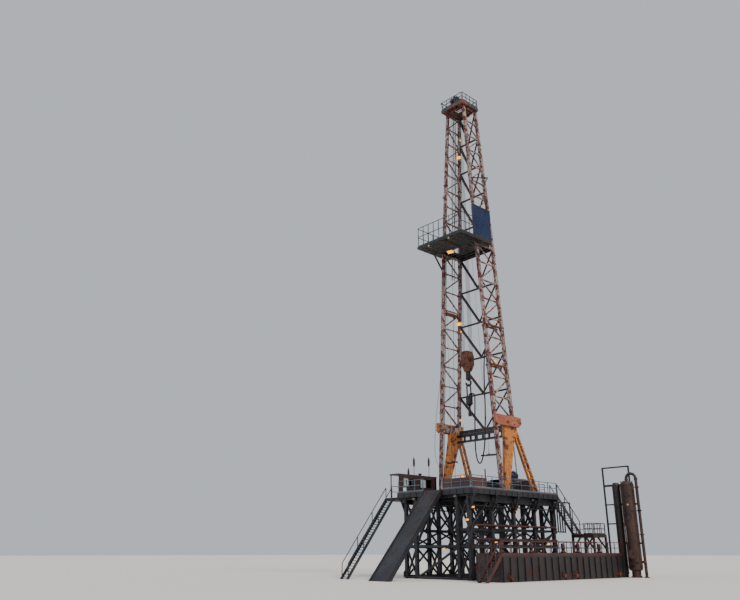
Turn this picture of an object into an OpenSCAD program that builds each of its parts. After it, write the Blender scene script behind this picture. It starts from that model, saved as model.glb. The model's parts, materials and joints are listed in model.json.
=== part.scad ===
// Land drilling rig at half size, in millimetres.
// The origin is on the ground under the middle of the mast's four legs. The open face
// of the mast looks along -Y, and the well stands a little in front of the origin.
// The doghouse hangs on the -X side, and the deck and the tanks are at the rear.

/* [Substructure] */
// Height of the drill floor above the ground
floor_height = 3800; // [3400:20:4600]
// Half of the width over the two side boxes
box_outer_x = 2000; // [1950:10:2200]
// Reach of the drill floor past the side boxes
floor_side = 300; // [200:10:400]
// Width of one side box
box_width = 800; // [700:10:900]
// Distance from the well to the front columns
box_front = 3200; // [3000:20:3600]
// Distance from the well to the rear columns
box_rear = 3200; // [3000:20:3600]
// Number of bays along each side box
box_bays = 4; // [4:1:5]
// Depth of the chords of the side boxes
chord_depth = 150; // [120:5:200]
// Depth of the top chords of the side boxes
top_chord = 300; // [240:10:360]
// Width of the columns of the side boxes
column_width = 150; // [120:5:200]
// Width of the diagonals of the side boxes
brace_width = 70; // [50:5:90]
// Height of the lower pony box
lower_tier = 1380; // [1300:20:1500]
// Height of the middle tier
middle_tier = 700; // [600:20:800]

/* [Drill floor] */
// Thickness of the floor plates
floor_plate = 40; // [25:5:60]
// Depth of the floor beams
floor_beam = 200; // [150:10:260]
// Overhang of the floor past the front columns
floor_overhang = 150; // [50:10:300]
// Diameter of the opening over the well
well_bore = 480; // [400:10:600]
// Height of the handrails
rail_height = 550; // [500:10:600]
// Thickness of the handrail tubes
rail_tube = 28; // [20:2:40]

/* [Mast] */
// Height of the mast above the drill floor
mast_height = 21500; // [20000:100:22000]
// Half of the distance between the side planes at the floor
mast_foot_x = 1925; // [1800:5:2000]
// Half of the distance between the side planes at the crown
mast_top_x = 600; // [560:5:700]
// Distance from the middle of the mast to the well, towards the open face
well_offset = 450; // [380:10:500]
// Half of the mast depth up to the racking board
mast_depth_half = 675; // [620:5:720]
// Half of the mast depth at the crown
mast_top_depth_half = 500; // [450:5:600]
// Width of the mast legs
leg_width = 150; // [130:5:180]
// Thickness of the mast legs
leg_thick = 150; // [120:5:170]
// Width of the mast girts and diagonals
lace_width = 62; // [50:2:80]
// Height of the lowest girt above the drill floor
mast_base = 3450; // [3300:10:3700]
// Depth of the lowest girt
mast_base_depth = 330; // [260:10:400]
// Number of side bays between the lowest girt and the racking board
lower_bays = 9; // [8:1:10]
// Number of side bays between the racking board and the crown
upper_bays = 9; // [8:1:10]

/* [A-frames] */
// Distance from the well to the foot of the front leg, towards the front
a_front_foot = 580; // [540:5:590]
// Width of the front leg at its foot
a_front_foot_width = 330; // [280:5:380]
// Width of the front leg at its head
a_front_head_width = 740; // [640:10:800]
// Thickness of the box beams at the heads
a_head_thick = 130; // [100:5:160]
// Distance from the well to the rear face of the rear leg at its foot
a_rear_foot = 2100; // [1900:10:2300]
// Spread of the two chords of the rear leg at the foot
a_rear_spread = 380; // [300:10:450]
// Width of one chord of the rear leg
a_chord = 85; // [60:5:110]

/* [Racking board] */
// Height of the racking board above the drill floor
board_height = 12700; // [12500:50:12900]
// Half of the width of the racking board
board_half = 1550; // [1500:10:1650]
// Reach of the board in front of the well
board_reach = 2350; // [2200:10:2500]
// Reach of the board behind the well
board_back = 100; // [0:10:150]
// Depth of the board's beams
board_beam = 110; // [80:5:150]
// Number of fingers on each side
finger_count = 7; // [6:1:8]
// Height of the board's rails
board_rail_height = 1100; // [900:20:1300]
// Height of the wind wall
wind_wall_height = 1820; // [1700:20:2000]
// Length of the wind wall
wind_wall_length = 1400; // [1000:50:1600]

/* [Crown] */
// Width of the crown platform
crown_width = 1600; // [1500:10:1700]
// Reach of the crown platform in front of the mast's middle
crown_front = 850; // [845:5:900]
// Length of the crown platform
crown_length = 1430; // [1425:5:1600]
// Height of the crown rails
crown_rail_height = 520; // [450:10:600]
// Diameter of the crown sheaves
crown_sheave = 620; // [500:10:660]

/* [Travelling block] */
// Height of the top of the travelling block above the drill floor
block_top = 7050; // [6600:50:7400]
// Height of the travelling block's case
block_length = 1050; // [900:10:1200]
// Width of the travelling block's case
block_width = 640; // [600:10:680]
// Thickness of the travelling block's case
block_depth = 340; // [280:10:400]
// Diameter of the drill line
line_d = 18; // [14:1:24]
// Number of lines on each side of the block
line_pairs = 4; // [3:1:5]

/* [Doghouse] */
// Length of the closed room
room_length = 1550; // [1450:10:1650]
// Width of the closed room
room_width = 600; // [560:10:700]
// Height of the room
room_height = 1060; // [1000:10:1150]
// Length of the open porch
porch_length = 1100; // [1050:10:1150]
// Width of the porch floor with the landing of the stair
landing_width = 880; // [860:10:960]
// Step from the drill floor down to the doghouse floor
dog_drop = 180; // [150:10:190]
// Thickness of the walls
wall = 40; // [30:5:60]

/* [Stairs and deck] */
// Width of the stairs
stair_width = 450; // [400:10:500]
// Rise of one tread
tread_rise = 110; // [95:5:130]
// Run of the front stair
front_stair_run = 2900; // [2700:50:3200]
// Run of the rear stair
rear_stair_run = 1900; // [1800:20:2100]
// Height of the rear deck above the ground
deck_height = 1950; // [1850:10:2050]
// Length of the rear deck behind the stair
deck_length = 1200; // [1000:20:1500]
// Thickness of the deck's edge beams
deck_beam = 120; // [90:5:150]
// Width of the deck's posts
deck_post = 90; // [70:5:120]
// Length of the ramp's foot in front of the floor
ramp_run = 3300; // [3000:50:3600]
// Width of the ramp
ramp_width = 1000; // [800:20:1100]

/* [Tanks and separator] */
// Gap between the drill floor and the tanks
tank_gap = 700; // [600:20:900]
// Height of a mud tank
tank_height = 1000; // [900:20:1100]
// Width of a mud tank
tank_width = 1300; // [1200:20:1400]
// Length of one mud tank
tank_length = 4650; // [4400:50:4700]
// Thickness of a tank's walls
tank_wall = 30; // [20:2:40]
// Diameter of the mud-gas separator
separator_d = 640; // [600:10:700]
// Height of the mud-gas separator
separator_height = 4450; // [4200:50:4700]
// Diameter of the smaller vessel
vessel_d = 380; // [340:10:420]
// Distance of the vessels behind the end of the tanks
vessel_back = 410; // [390:10:500]

/* [Hidden] */

fit = 0.3;
mast_slope = atan((mast_foot_x - mast_top_x) / mast_height);
mast_z = floor_height;
side_v = 1 / cos(mast_slope);
floor_under = floor_height - floor_plate;
chord_top = floor_under - floor_beam;
bay = (box_front + box_rear) / box_bays;
floor_front = box_front + floor_overhang;
floor_half = box_outer_x + floor_side;
board_z = mast_z + board_height;
crown_z = mast_z + mast_height;
dog_x = floor_half + fit;
dog_front = floor_front - 150;
dog_z = floor_height - dog_drop;
dog_y0 = porch_length - dog_front;
dog_y1 = dog_y0 + room_length;
deck_y0 = box_rear + 2 * fit + rear_stair_run;
deck_y1 = deck_y0 + deck_length;
stair_x = floor_half - 60 - stair_width;
deck_x0 = stair_x - 150;
tank_x0 = floor_half + tank_gap;
deck_x1 = tank_x0 - 100;
tank_x1 = tank_x0 + tank_width;
tank_y1 = deck_y0 + deck_post;
separator_x = tank_x1 + 60 + separator_d / 2;
separator_y = tank_y1 + vessel_back;
vessel_gap = 80;
frame_gap = 60;
crown_rear = crown_length - crown_front;
far = -1;
near = 1;
well_y = -well_offset;

// half of the mast's width between side planes at a height above the floor
function mast_x(h) = mast_foot_x - h * tan(mast_slope);
// half of the mast's depth at a height above the floor
function mast_y(h) = h <= board_height ? mast_depth_half
  : mast_depth_half - (mast_depth_half - mast_top_depth_half)
    * (h - board_height) / (mast_height - board_height);

// place of each column of the side boxes along Y
function column_y(i) = -box_front + i * bay
  + (i == 0 ? 1 : i == box_bays ? -1 : 0) * column_width / 2;

// a flat bar from one point to another
module bar(a, b, w) {
  d = b - a;
  n = [-d[1], d[0]] / norm(d) * w / 2;
  polygon([a + n, b + n, b - n, a - n]);
}

// flat shapes joined into one plate of the given thickness
module plate(t) {
  linear_extrude(t, center = true) offset(delta = 0) children();
}

// an upright plane that runs along Y at a distance x: drawn as Y across and Z up
module along_y(x) {
  translate([x, 0, 0]) rotate([90, 0, 90]) children();
}

// an upright plane that runs along X at a distance y: drawn as X across and Z up
module along_x(y) {
  translate([0, y, 0]) rotate([90, 0, 0]) children();
}

// the leaning side plane of the mast: drawn as Y across and height above the floor up
module side_plane(side) {
  translate([side * mast_foot_x, 0, mast_z])
    rotate([0, -side * mast_slope, 0]) rotate([90, 0, 90]) children();
}

// a box between two corners
module block(a, b) {
  translate([min(a[0], b[0]), min(a[1], b[1]), min(a[2], b[2])])
    cube([abs(b[0] - a[0]), abs(b[1] - a[1]), abs(b[2] - a[2])]);
}

// side trusses of the substructure
module side_truss(x, lean) {
  levels = [0, lower_tier, lower_tier + middle_tier, chord_top];
  color("#3a3f45") along_y(x) union() {
    plate(column_width) {
      for (z = [chord_depth / 2, lower_tier]) bar([-box_front, z], [box_rear, z], chord_depth);
      bar([-box_front, chord_top - top_chord / 2], [box_rear, chord_top - top_chord / 2], top_chord);
      for (i = [0:box_bays]) bar([column_y(i), 0], [column_y(i), chord_top], column_width);
    }
    plate(brace_width) {
      bar([-box_front + 10, levels[2]], [box_rear - 10, levels[2]], chord_depth * 0.7);
      for (i = [0:box_bays - 1], k = [0:2]) {
        left = -box_front + i * bay + column_width / 2;
        right = left + bay - column_width / 2;
        up = (i + k + lean) % 2 == 0;
        bar([left, up ? levels[k] + 60 : levels[k + 1] - 60],
            [right, up ? levels[k + 1] - 60 : levels[k] + 60], brace_width);
      }
    }
  }
}

module substructure_far_outer_truss() side_truss(-box_outer_x + column_width / 2, 0);
module substructure_far_inner_truss()
  side_truss(-box_outer_x + box_width - column_width / 2, 1);
module substructure_near_inner_truss()
  side_truss(box_outer_x - box_width + column_width / 2, 1);
module substructure_near_outer_truss() side_truss(box_outer_x - column_width / 2, 0);

// cross frames inside one side box, one at each column
module box_ties(side) {
  in = box_outer_x - box_width + column_width + fit;
  out = box_outer_x - column_width - fit;
  tie = 90;
  levels = [tie / 2, lower_tier, lower_tier + middle_tier, chord_top - tie / 2];
  color("#343a40")
  for (i = [0:box_bays])
    along_x(column_y(i)) plate(tie) intersection() {
      translate([side > 0 ? in : -out, 0]) square([out - in, chord_top]);
      union() {
        for (z = levels) bar([side * in, z], [side * out, z], tie);
        for (k = [0:2]) {
          bar([side * (in - tie), levels[k]], [side * (out + tie), levels[k + 1]], 60);
          if (k != 1) bar([side * (out + tie), levels[k]], [side * (in - tie), levels[k + 1]], 60);
        }
      }
    }
}
module substructure_far_ties() box_ties(far);
module substructure_near_ties() box_ties(near);

// frames that hold the two side boxes apart
module substructure_spreaders() {
  in = box_outer_x - box_width - fit;
  tie = 110;
  color("#343a40")
  for (y = [column_y(0), -bay, bay, column_y(box_bays)])
    along_x(y) plate(tie) {
      bar([-in, tie / 2], [in, tie / 2], tie);
      bar([-in, chord_top - tie / 2], [in, chord_top - tie / 2], tie);
      if (abs(y) > bay) intersection() {
        translate([-in, 0]) square([2 * in, chord_top]);
        union() {
          bar([-in, lower_tier], [in, lower_tier], tie);
          bar([-in - tie, 0], [in + tie, lower_tier], 70);
          bar([-in - tie, lower_tier], [0, chord_top], 70);
          bar([in + tie, lower_tier], [0, chord_top], 70);
        }
      }
    }
}

// beams under the floor, cut for the well
module floor_beams() {
  out = floor_half;
  in = box_outer_x - box_width;
  beam = 100;
  well_clear = 60;
  edge = 25;
  rows = [-floor_front, -box_front + bay / 2, -box_front + bay, well_y - well_bore / 2 - well_clear - beam,
    well_y + well_bore / 2 + well_clear, box_rear - 1.5 * bay, box_rear - bay, box_rear - bay / 2,
    box_rear - beam];
  color("#3a3f45") difference() {
    translate([0, 0, chord_top]) linear_extrude(floor_beam) offset(delta = 0) {
      for (y = rows) translate([-out, y]) square([2 * out, beam]);
      for (x = [-out, -box_outer_x + edge, -in - beam, -beam / 2, in, box_outer_x - beam - edge, out - beam])
        translate([x, -floor_front]) square([beam, floor_front + box_rear]);
    }
    translate([0, well_y, chord_top - 1]) cylinder(h = floor_beam + 2, d = well_bore, $fn = 32);
  }
}

// sloping struts from the side boxes to the edges of the floor
module floor_side_brackets() {
  drop = 640;
  strut = 75;
  color("#343a40")
  for (side = [-1, 1], i = [0:box_bays])
    along_x(column_y(i)) plate(strut) mirror([side < 0 ? 1 : 0, 0]) intersection() {
      translate([box_outer_x + fit, chord_top - fit - drop - strut]) square([floor_side - fit, drop + strut]);
      union() {
        bar([box_outer_x - strut / 2, chord_top - drop - strut], [floor_half, chord_top], strut);
        bar([box_outer_x, chord_top - strut / 2], [floor_half, chord_top - strut / 2], strut);
        bar([box_outer_x + strut / 3, chord_top - drop], [box_outer_x + strut / 3, chord_top], strut * 0.7);
      }
    }
}

module floor_plates() {
  color("#5c3a2e") difference() {
    block([-floor_half, -floor_front, floor_under], [floor_half, box_rear, floor_height]);
    translate([0, well_y, floor_under - 1]) cylinder(h = floor_plate + 2, d = well_bore, $fn = 32);
  }
}

// rotary table: a drum set in the floor, with its master bushing bore
module rotary_table() {
  drum = 150;
  rim = 40;
  rim_out = 90;
  bushing = 260;
  color("#6b2f22") translate([0, well_y, floor_under - drum]) difference() {
    union() {
      cylinder(h = drum + floor_plate + rim, d = well_bore - 2 * fit, $fn = 32);
      translate([0, 0, drum + floor_plate + fit]) cylinder(h = rim, d = well_bore + 2 * rim_out, $fn = 48);
    }
    translate([0, 0, -1]) cylinder(h = drum + floor_plate + 2 * rim, d = bushing, $fn = 32);
  }
}

toe_board = 70;
// one straight run of handrail between two points at the same height
module rail_run(a, b, h, posts) {
  n = max(1, posts);
  d = b - a;
  len = norm(d);
  turn = atan2(d[1], d[0]);
  translate(a) rotate([0, 0, turn]) rotate([90, 0, 0])
    plate(rail_tube) {
      for (i = [0:n])
        bar([rail_tube / 2 + i * (len - rail_tube) / n, 0],
            [rail_tube / 2 + i * (len - rail_tube) / n, h], rail_tube);
      for (z = [h - rail_tube / 2, h * 0.52]) bar([0, z], [len, z], rail_tube);
      square([len, toe_board]);
    }
}

module floor_rails() {
  e = rail_tube;
  x = floor_half - e;
  yf = -floor_front + e;
  yr = box_rear - e;
  z = floor_height;
  color("#b9a58a") {
    rail_run([x, yf + 40, z], [x, yr - 40, z], rail_height, 9);
    rail_run([-x, -400, z], [-x, yr - 40, z], rail_height, 5);
    rail_run([600, yf, z], [x - 40, yf, z], rail_height, 3);
    rail_run([-x + 40, yf, z], [-600, yf, z], rail_height, 3);
    rail_run([-x + 40, yr, z], [x - 700, yr, z], rail_height, 5);
  }
}

// low panels inside the rails at the near front corner
module floor_wind_panels() {
  t = 15;
  high = 450;
  x = floor_half - 1.5 * rail_tube - fit;
  y = -floor_front + 1.5 * rail_tube + fit;
  z0 = floor_height + fit;
  color("#5c3a2e") {
    block([ramp_width / 2 + 120, y, z0], [x - 60, y + t, z0 + high]);
    block([x - t, y + t + 2 * fit, z0], [x, y + 1100, z0 + high]);
  }
}

// sloping ramp up to the open face of the mast
module v_door_ramp() {
  top = [-floor_front - fit, floor_height];
  foot = [-floor_front - ramp_run, 0];
  deep = 90;
  curb = 40;
  color("#4a3a34") {
    along_y(0) {
      plate(ramp_width - 2 * fit) polygon([top, top - [0, deep], foot, foot - [deep, 0]]);
      for (side = [-1, 1]) translate([0, 0, side * (ramp_width / 2 + curb / 2)])
        plate(curb) polygon([top + [0, 60], top - [0, 240], foot + [140, 0], foot - [160, 0]]);
    }
  }
}

stringer = 30;
stringer_deep = 170;
// two stringers and their handrails
module stair_frame(run, rise, width) {
  slope = rise / run;
  for (side = [0, 1]) along_y(side * (width - stringer) + stringer / 2) plate(stringer) {
    polygon([[0, rise], [0, rise - stringer_deep], [run - stringer_deep / slope, 0], [run, 0], [run, 40],
      [60, rise + 20 - 60 * slope + 20], [0, rise]]);
    for (i = [0:3]) {
      u = 60 + i * (run - 160) / 3;
      bar([u, rise - u * slope - 20], [u, rise - u * slope + rail_height], rail_tube);
    }
    bar([60, rise - 60 * slope + rail_height], [run - 90, rise - (run - 90) * slope + rail_height],
      rail_tube);
  }
}

module stair_treads(run, rise, width) {
  n = floor(rise / tread_rise);
  for (i = [1:n - 1])
    translate([stringer + fit, run * i / n - 60, rise - rise * i / n - 30])
      cube([width - 2 * stringer - 2 * fit, 130, 18]);
}

module at_front_stair() {
  translate([stair_width - dog_x - landing_width, -dog_front - fit, 0]) rotate([0, 0, 180]) children();
}
module front_stair() {
  color("#41464b") at_front_stair() stair_frame(front_stair_run, dog_z, stair_width);
}
module front_stair_treads() {
  color("#565b60") at_front_stair() stair_treads(front_stair_run, dog_z, stair_width);
}

module at_rear_stair() {
  translate([stair_x, box_rear + fit, deck_height]) children();
}
module rear_stair() {
  color("#8fa3ad") at_rear_stair()
    stair_frame(rear_stair_run, floor_height - deck_height, stair_width);
}
module rear_stair_treads() {
  color("#565b60") at_rear_stair()
    stair_treads(rear_stair_run, floor_height - deck_height, stair_width);
}

// raised deck at the foot of the rear stair, on posts, with its rails
module rear_deck() {
  x1 = deck_x1;
  knee = 480;
  color("#5a3b33") {
    translate([0, 0, deck_height - deck_beam]) linear_extrude(deck_beam) offset(delta = 0) difference() {
      translate([deck_x0, deck_y0]) square([x1 - deck_x0, deck_length]);
      for (i = [0:1], k = [0:1]) translate([deck_x0 + deck_post + i * (x1 - deck_x0 - deck_post) / 2,
          deck_y0 + deck_post + k * (deck_length - deck_post) / 2])
        square([(x1 - deck_x0 - deck_post) / 2 - deck_post, (deck_length - deck_post) / 2 - deck_post]);
    }
    translate([0, 0, deck_height + fit]) linear_extrude(16)
      translate([deck_x0, deck_y0]) square([x1 - deck_x0, deck_length]);
    for (y = [deck_y0 + deck_post / 2, deck_y1 - deck_post / 2])
      along_x(y) plate(deck_post) difference() {
        union() {
          for (x = [deck_x0 + deck_post / 2, x1 - deck_post / 2])
            bar([x, 0], [x, deck_height - deck_beam - fit], deck_post);
          bar([deck_x0 + 20, deck_height - deck_beam - knee - 120],
              [deck_x0 + knee, deck_height - deck_beam + 20], 60);
          bar([x1 - 20, deck_height - deck_beam - knee - 120],
              [x1 - knee, deck_height - deck_beam + 20], 60);
        }
        translate([deck_x0, deck_height - deck_beam - fit]) square([x1 - deck_x0, 200]);
      }
  }
  color("#b9a58a") {
    z = deck_height + 16 + 2 * fit;
    e = rail_tube;
    rail_run([deck_x0 + e, deck_y0 + 60, z], [deck_x0 + e, deck_y1 - 60, z], rail_height, 3);
    rail_run([x1 - e, deck_y0 + 60, z], [x1 - e, deck_y1 - 60, z], rail_height, 3);
    rail_run([deck_x0 + 60, deck_y1 - e, z], [x1 - 60, deck_y1 - e, z], rail_height, 4);
    rail_run([stair_x + stair_width + 100, deck_y0 + e, z], [x1 - 60, deck_y0 + e, z], rail_height, 2);
  }
}

// row of upright pipes and a high bar behind the near side box, on a post at the deck
module rear_pipe_rack() {
  back = box_rear - column_width / 2 + 45 + fit;
  end = deck_y0 - 45;
  low = lower_tier + middle_tier;
  top = chord_top - 45;
  pitch = 200;
  count = 7;
  pipe = 60;
  color("#343a40") along_y(stair_x - 90) plate(50) {
    bar([back, top], [end + pipe / 2, top], pipe);
    bar([back, low], [back + (count - 0.3) * pitch, low], pipe);
    for (i = [1:count]) bar([back + (i - 0.4) * pitch, low], [back + (i - 0.4) * pitch, top], 45);
    bar([end, 0], [end, top], pipe);
  }
}

module doghouse_floor() {
  deep = 150;
  color("#4b4f54") translate([0, 0, dog_z - deep]) linear_extrude(deep) offset(delta = 0) {
    translate([-dog_x - room_width, -dog_front]) square([room_width, dog_y1 + dog_front]);
    translate([-dog_x - landing_width, -dog_front]) square([landing_width, porch_length]);
  }
}

window_sill = 500;
window_high = 460;
window_side = 350;
door_high = 960;
door_side = 80;
step = 15;
// closed room: four walls with two windows and the door to the porch
module doghouse_walls() {
  z = dog_z;
  x0 = -dog_x - room_width;
  color("#4c4a4d") difference() {
    block([x0, dog_y0, z], [-dog_x, dog_y1, z + room_height]);
    block([x0 + wall, dog_y0 + wall, z - 1], [-dog_x - wall, dog_y1 - wall, z + room_height + 1]);
    for (x = [x0, -dog_x - wall])
      block([x - 1, dog_y0 + window_side, z + window_sill],
            [x + wall + 1, dog_y1 - window_side, z + window_sill + window_high]);
    block([x0 + door_side, dog_y0 - 1, z + step], [-dog_x - door_side, dog_y0 + wall + 1, z + door_high]);
  }
}

module doghouse_roof() {
  z = dog_z + room_height;
  eave = 40;
  color("#3d3a3c")
    block([-dog_x - room_width - eave, -dog_front - eave, z], [-dog_x, dog_y1 + eave, z + 50]);
}

// open porch at the head of the front stair
module doghouse_porch() {
  x0 = -dog_x - room_width;
  front = 270;
  post = 50;
  color("#4c4a4d") {
    along_y(-dog_x - wall / 2) plate(wall) difference() {
      translate([-dog_front, dog_z]) square([porch_length - fit, room_height]);
      translate([-dog_front + front, dog_z + window_sill]) square([porch_length - front - 50, window_high]);
      translate([-dog_front + front, dog_z + step]) square([380, window_sill]);
    }
    along_y(x0 + rail_tube / 2) plate(rail_tube) {
      bar([-dog_front + post / 2, dog_z], [-dog_front + post / 2, dog_z + room_height], post);
      for (z = [rail_height * 0.52, rail_height])
        bar([-dog_front, dog_z + z], [dog_y0 - fit, dog_z + z], rail_tube);
    }
  }
}

// what stands on the floor and stays under the crown, cut flat at both
past = 20;
wide = mast_height;
module between_floor_and_crown() {
  difference() {
    children();
    for (z = [mast_z + fit - wide, crown_z]) translate([-wide, -wide, z]) cube([2 * wide, 2 * wide, wide]);
  }
}

// side of the mast: two legs with zigzag lacing, the front leg standing on the floor
module mast_side(side) {
  low = [for (i = [0:lower_bays]) mast_base + i * (board_height - mast_base) / lower_bays];
  high = [for (i = [0:upper_bays]) board_height + i * (mast_height - board_height) / upper_bays];
  nodes = concat(low, [for (i = [1:upper_bays]) high[i]]);
  color("#d8d2c4") between_floor_and_crown() side_plane(side) union() {
    plate(leg_thick) scale([1, side_v]) {
      for (s = [-1, 1]) {
        bar([s * mast_depth_half, s < 0 ? -past : mast_base - mast_base_depth],
            [s * mast_depth_half, board_height + 4], leg_width);
        bar([s * mast_depth_half, board_height],
            [s * mast_top_depth_half, mast_height + past], leg_width);
      }
      bar([-mast_depth_half, mast_base - mast_base_depth / 2],
          [mast_depth_half + leg_width / 2, mast_base - mast_base_depth / 2], mast_base_depth);
    }
    plate(lace_width) scale([1, side_v]) {
      for (h = nodes) bar([-mast_y(h), h], [mast_y(h), h], lace_width);
      for (i = [0:len(nodes) - 2]) {
        s = i % 2 == 0 ? 1 : -1;
        bar([s * mast_y(nodes[i]), nodes[i]], [-s * mast_y(nodes[i + 1]), nodes[i + 1]], lace_width);
      }
      bar([-mast_top_depth_half, mast_height - lace_width / 2],
          [mast_top_depth_half, mast_height - lace_width / 2], lace_width);
    }
  }
}
module mast_far_side() mast_side(far);
module mast_near_side() mast_side(near);

// back of the mast between two heights, leaning with the rear legs
module mast_back(h0, h1, bays, beam) {
  y0 = mast_y(h0);
  y1 = mast_y(h1);
  lean = atan((y0 - y1) / (h1 - h0));
  step = (h1 - h0) / bays;
  gap = leg_thick / 2 * side_v + fit;
  color("#cfc8ba") translate([0, y0, mast_z + h0]) rotate([lean, 0, 0]) rotate([90, 0, 0])
    plate(lace_width) intersection() {
      polygon([[-mast_x(h0) + gap, 0], [mast_x(h0) - gap, 0],
        [mast_x(h1) - gap, (h1 - h0) / cos(lean)], [-mast_x(h1) + gap, (h1 - h0) / cos(lean)]]);
      union() {
        for (i = [0:bays])
          bar([-mast_foot_x, min(i * step + (i == 0 ? beam / 2 : 0), h1 - h0 - lace_width / 2)],
              [mast_foot_x, min(i * step + (i == 0 ? beam / 2 : 0), h1 - h0 - lace_width / 2)],
              i == 0 ? beam : lace_width);
        for (i = [0:bays - 1], s = [-1, 1])
          bar([0, i * step], [s * mast_x(h0 + (i + 1) * step), (i + 1) * step], lace_width);
      }
    }
}
module mast_back_lower()
  mast_back(mast_base - mast_base_depth, board_height, 5, mast_base_depth / 2);
module mast_back_upper() mast_back(board_height + 1, mast_height, 5, lace_width);

a_head = mast_base - mast_base_depth - fit;
// front leg of one A-frame, a tapered plate girder
module a_front_leg(side) {
  rear = mast_depth_half - 60;
  color("#caa04a") between_floor_and_crown() side_plane(side) scale([1, side_v, 1]) plate(leg_thick)
    polygon([[-a_front_foot, -past], [-a_front_foot + a_front_foot_width, -past], [rear, a_head - 560],
      [rear, a_head], [rear - a_front_head_width, a_head], [rear - a_front_head_width, a_head - 330]]);
}
module a_frame_far_front_leg() a_front_leg(far);
module a_frame_near_front_leg() a_front_leg(near);

rear_thick = 120;
// rear leg of one A-frame, two chords with rungs
module a_rear_leg(side) {
  head = [mast_depth_half - 60 + fit, a_head];
  color("#b9925a") between_floor_and_crown() side_plane(side) plate(rear_thick) scale([1, side_v]) union() {
    out_a = head + [180, -40];
    out_b = [a_rear_foot - a_chord / 2, 0];
    in_a = head + [60, -420];
    in_b = [a_rear_foot - a_rear_spread, 0];
    polygon([head, head + [240, 0], head + [330, -330], head + [110, -520], head + [0, -500]]);
    intersection() {
      translate([head[0], -past]) square([a_rear_foot, a_head + past]);
      union() {
        bar(out_a, out_b - (out_a - out_b) * 0.02, a_chord);
        bar(in_a, in_b - (in_a - in_b) * 0.02, a_chord);
        for (i = [1:7]) bar(out_a + (out_b - out_a) * i / 7.6, in_a + (in_b - in_a) * (i - 0.6) / 7.6, 50);
        translate([in_b[0] - 60, -past]) square([a_rear_spread + 100, 50 + past]);
      }
    }
  }
}
module a_frame_far_rear_leg() a_rear_leg(far);
module a_frame_near_rear_leg() a_rear_leg(near);

// box beam on the outer face of one side, over the heads of its legs
module a_head_beam(side) {
  color("#caa04a") side_plane(side) translate([0, 0, side * (leg_thick / 2 + fit + a_head_thick / 2)])
    plate(a_head_thick) scale([1, side_v])
      polygon([[-700, a_head - 50], [900, a_head - 50], [1120, a_head + 130], [1120, a_head + 450],
        [-860, a_head + 450], [-860, a_head + 60]]);
}
module a_frame_far_head() a_head_beam(far);
module a_frame_near_head() a_head_beam(near);

// the space between the two leaning side planes
module between_sides(t) {
  rotate([90, 0, 0]) linear_extrude(wide, center = true)
    polygon([[-mast_foot_x + t, mast_z], [mast_foot_x - t, mast_z],
      [mast_top_x - t, crown_z], [-mast_top_x + t, crown_z]]);
}

module a_frame_cross_beams() {
  y = mast_depth_half - 60 - 200;
  color("#3c3f44") intersection() {
    between_sides((leg_thick / 2 + fit) * side_v);
    union() {
      block([-mast_foot_x, y, mast_z + a_head - 200], [mast_foot_x, y + 130, mast_z + a_head - 60]);
      block([-mast_foot_x, y, mast_z + a_head - 480], [mast_foot_x, y + 130, mast_z + a_head - 380]);
      for (x = [-1200:400:1200])
        block([x - 40, y + 20, mast_z + a_head - 400], [x + 40, y + 110, mast_z + a_head - 190]);
    }
  }
}

crown_beam = 180;
crown_rim = 90;
cross_beam = 120;
line_well = 280;
well_beam = 100;
// beams on the top of the mast
module crown_frame() {
  z = crown_z + fit;
  w = crown_width / 2;
  color("#6e7f8c") {
    translate([0, 0, z]) linear_extrude(crown_beam) offset(delta = 0) {
      difference() {
        translate([-w, -crown_front]) square([2 * w, crown_length]);
        translate([-w + crown_rim, -crown_front + crown_rim])
          square([2 * w - 2 * crown_rim, crown_length - 2 * crown_rim]);
      }
      for (y = [-mast_top_depth_half, mast_top_depth_half])
        translate([-w, y - cross_beam / 2]) square([2 * w, cross_beam]);
      for (x = [-line_well - well_beam, line_well])
        translate([x, -mast_top_depth_half]) square([well_beam, 2 * mast_top_depth_half]);
    }
  }
}

line_back = -100;
// plates between the crown beams, clear of the lines
module crown_deck() {
  in = line_well + well_beam + fit;
  w = crown_width / 2 - crown_rim - fit;
  y1 = mast_top_depth_half - cross_beam / 2 - fit;
  z = crown_z + 20;
  t = 12;
  color("#7c4a34") {
    for (side = [-1, 1]) {
      block([side * in, -y1, z], [side * w, y1, z + t]);
      block([side * in, -crown_front + crown_rim + fit, z],
            [side * w, -y1 - cross_beam - 2 * fit, z + t]);
    }
    block([-line_well + fit, line_back, z], [line_well - fit, y1, z + t]);
  }
}

sheave_gap = 70;
shaft_r = 29.5;
stand = 60;
stand_x = 270;
sheave_z = crown_z + crown_beam + 20 + crown_sheave / 2;
groove = 22;
// grooved wheel on an axis along X
module sheave(d, t) {
  rotate([0, 90, 0]) rotate_extrude($fn = 48)
    polygon([[shaft_r + fit, -t / 2], [d / 2, -t / 2], [d / 2, -t / 3], [d / 2 - groove, -t / 5],
      [d / 2 - groove, t / 5], [d / 2, t / 3], [d / 2, t / 2], [shaft_r + fit, t / 2]]);
}

// cluster of sheaves on one shaft between two bearing stands
module crown_sheaves() {
  seat = crown_z + crown_beam + 2 * fit;
  color("#7a4a34") translate([0, well_y, 0]) {
    for (i = [-line_pairs / 2:line_pairs / 2])
      translate([i * sheave_gap, 0, sheave_z]) sheave(crown_sheave, 48);
    translate([-stand_x - stand / 2, 0, sheave_z]) rotate([0, 90, 0])
      cylinder(h = 2 * stand_x + stand, r = shaft_r, $fn = 32);
    for (s = [-1, 1]) translate([s * stand_x, 0, 0]) difference() {
      along_y(0) linear_extrude(stand, center = true)
        polygon([[-150, seat], [150, seat], [70, sheave_z + 60], [-70, sheave_z + 60]]);
      translate([-stand, 0, sheave_z]) rotate([0, 90, 0]) cylinder(h = 2 * stand, r = shaft_r + fit, $fn = 32);
    }
  }
}

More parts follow.
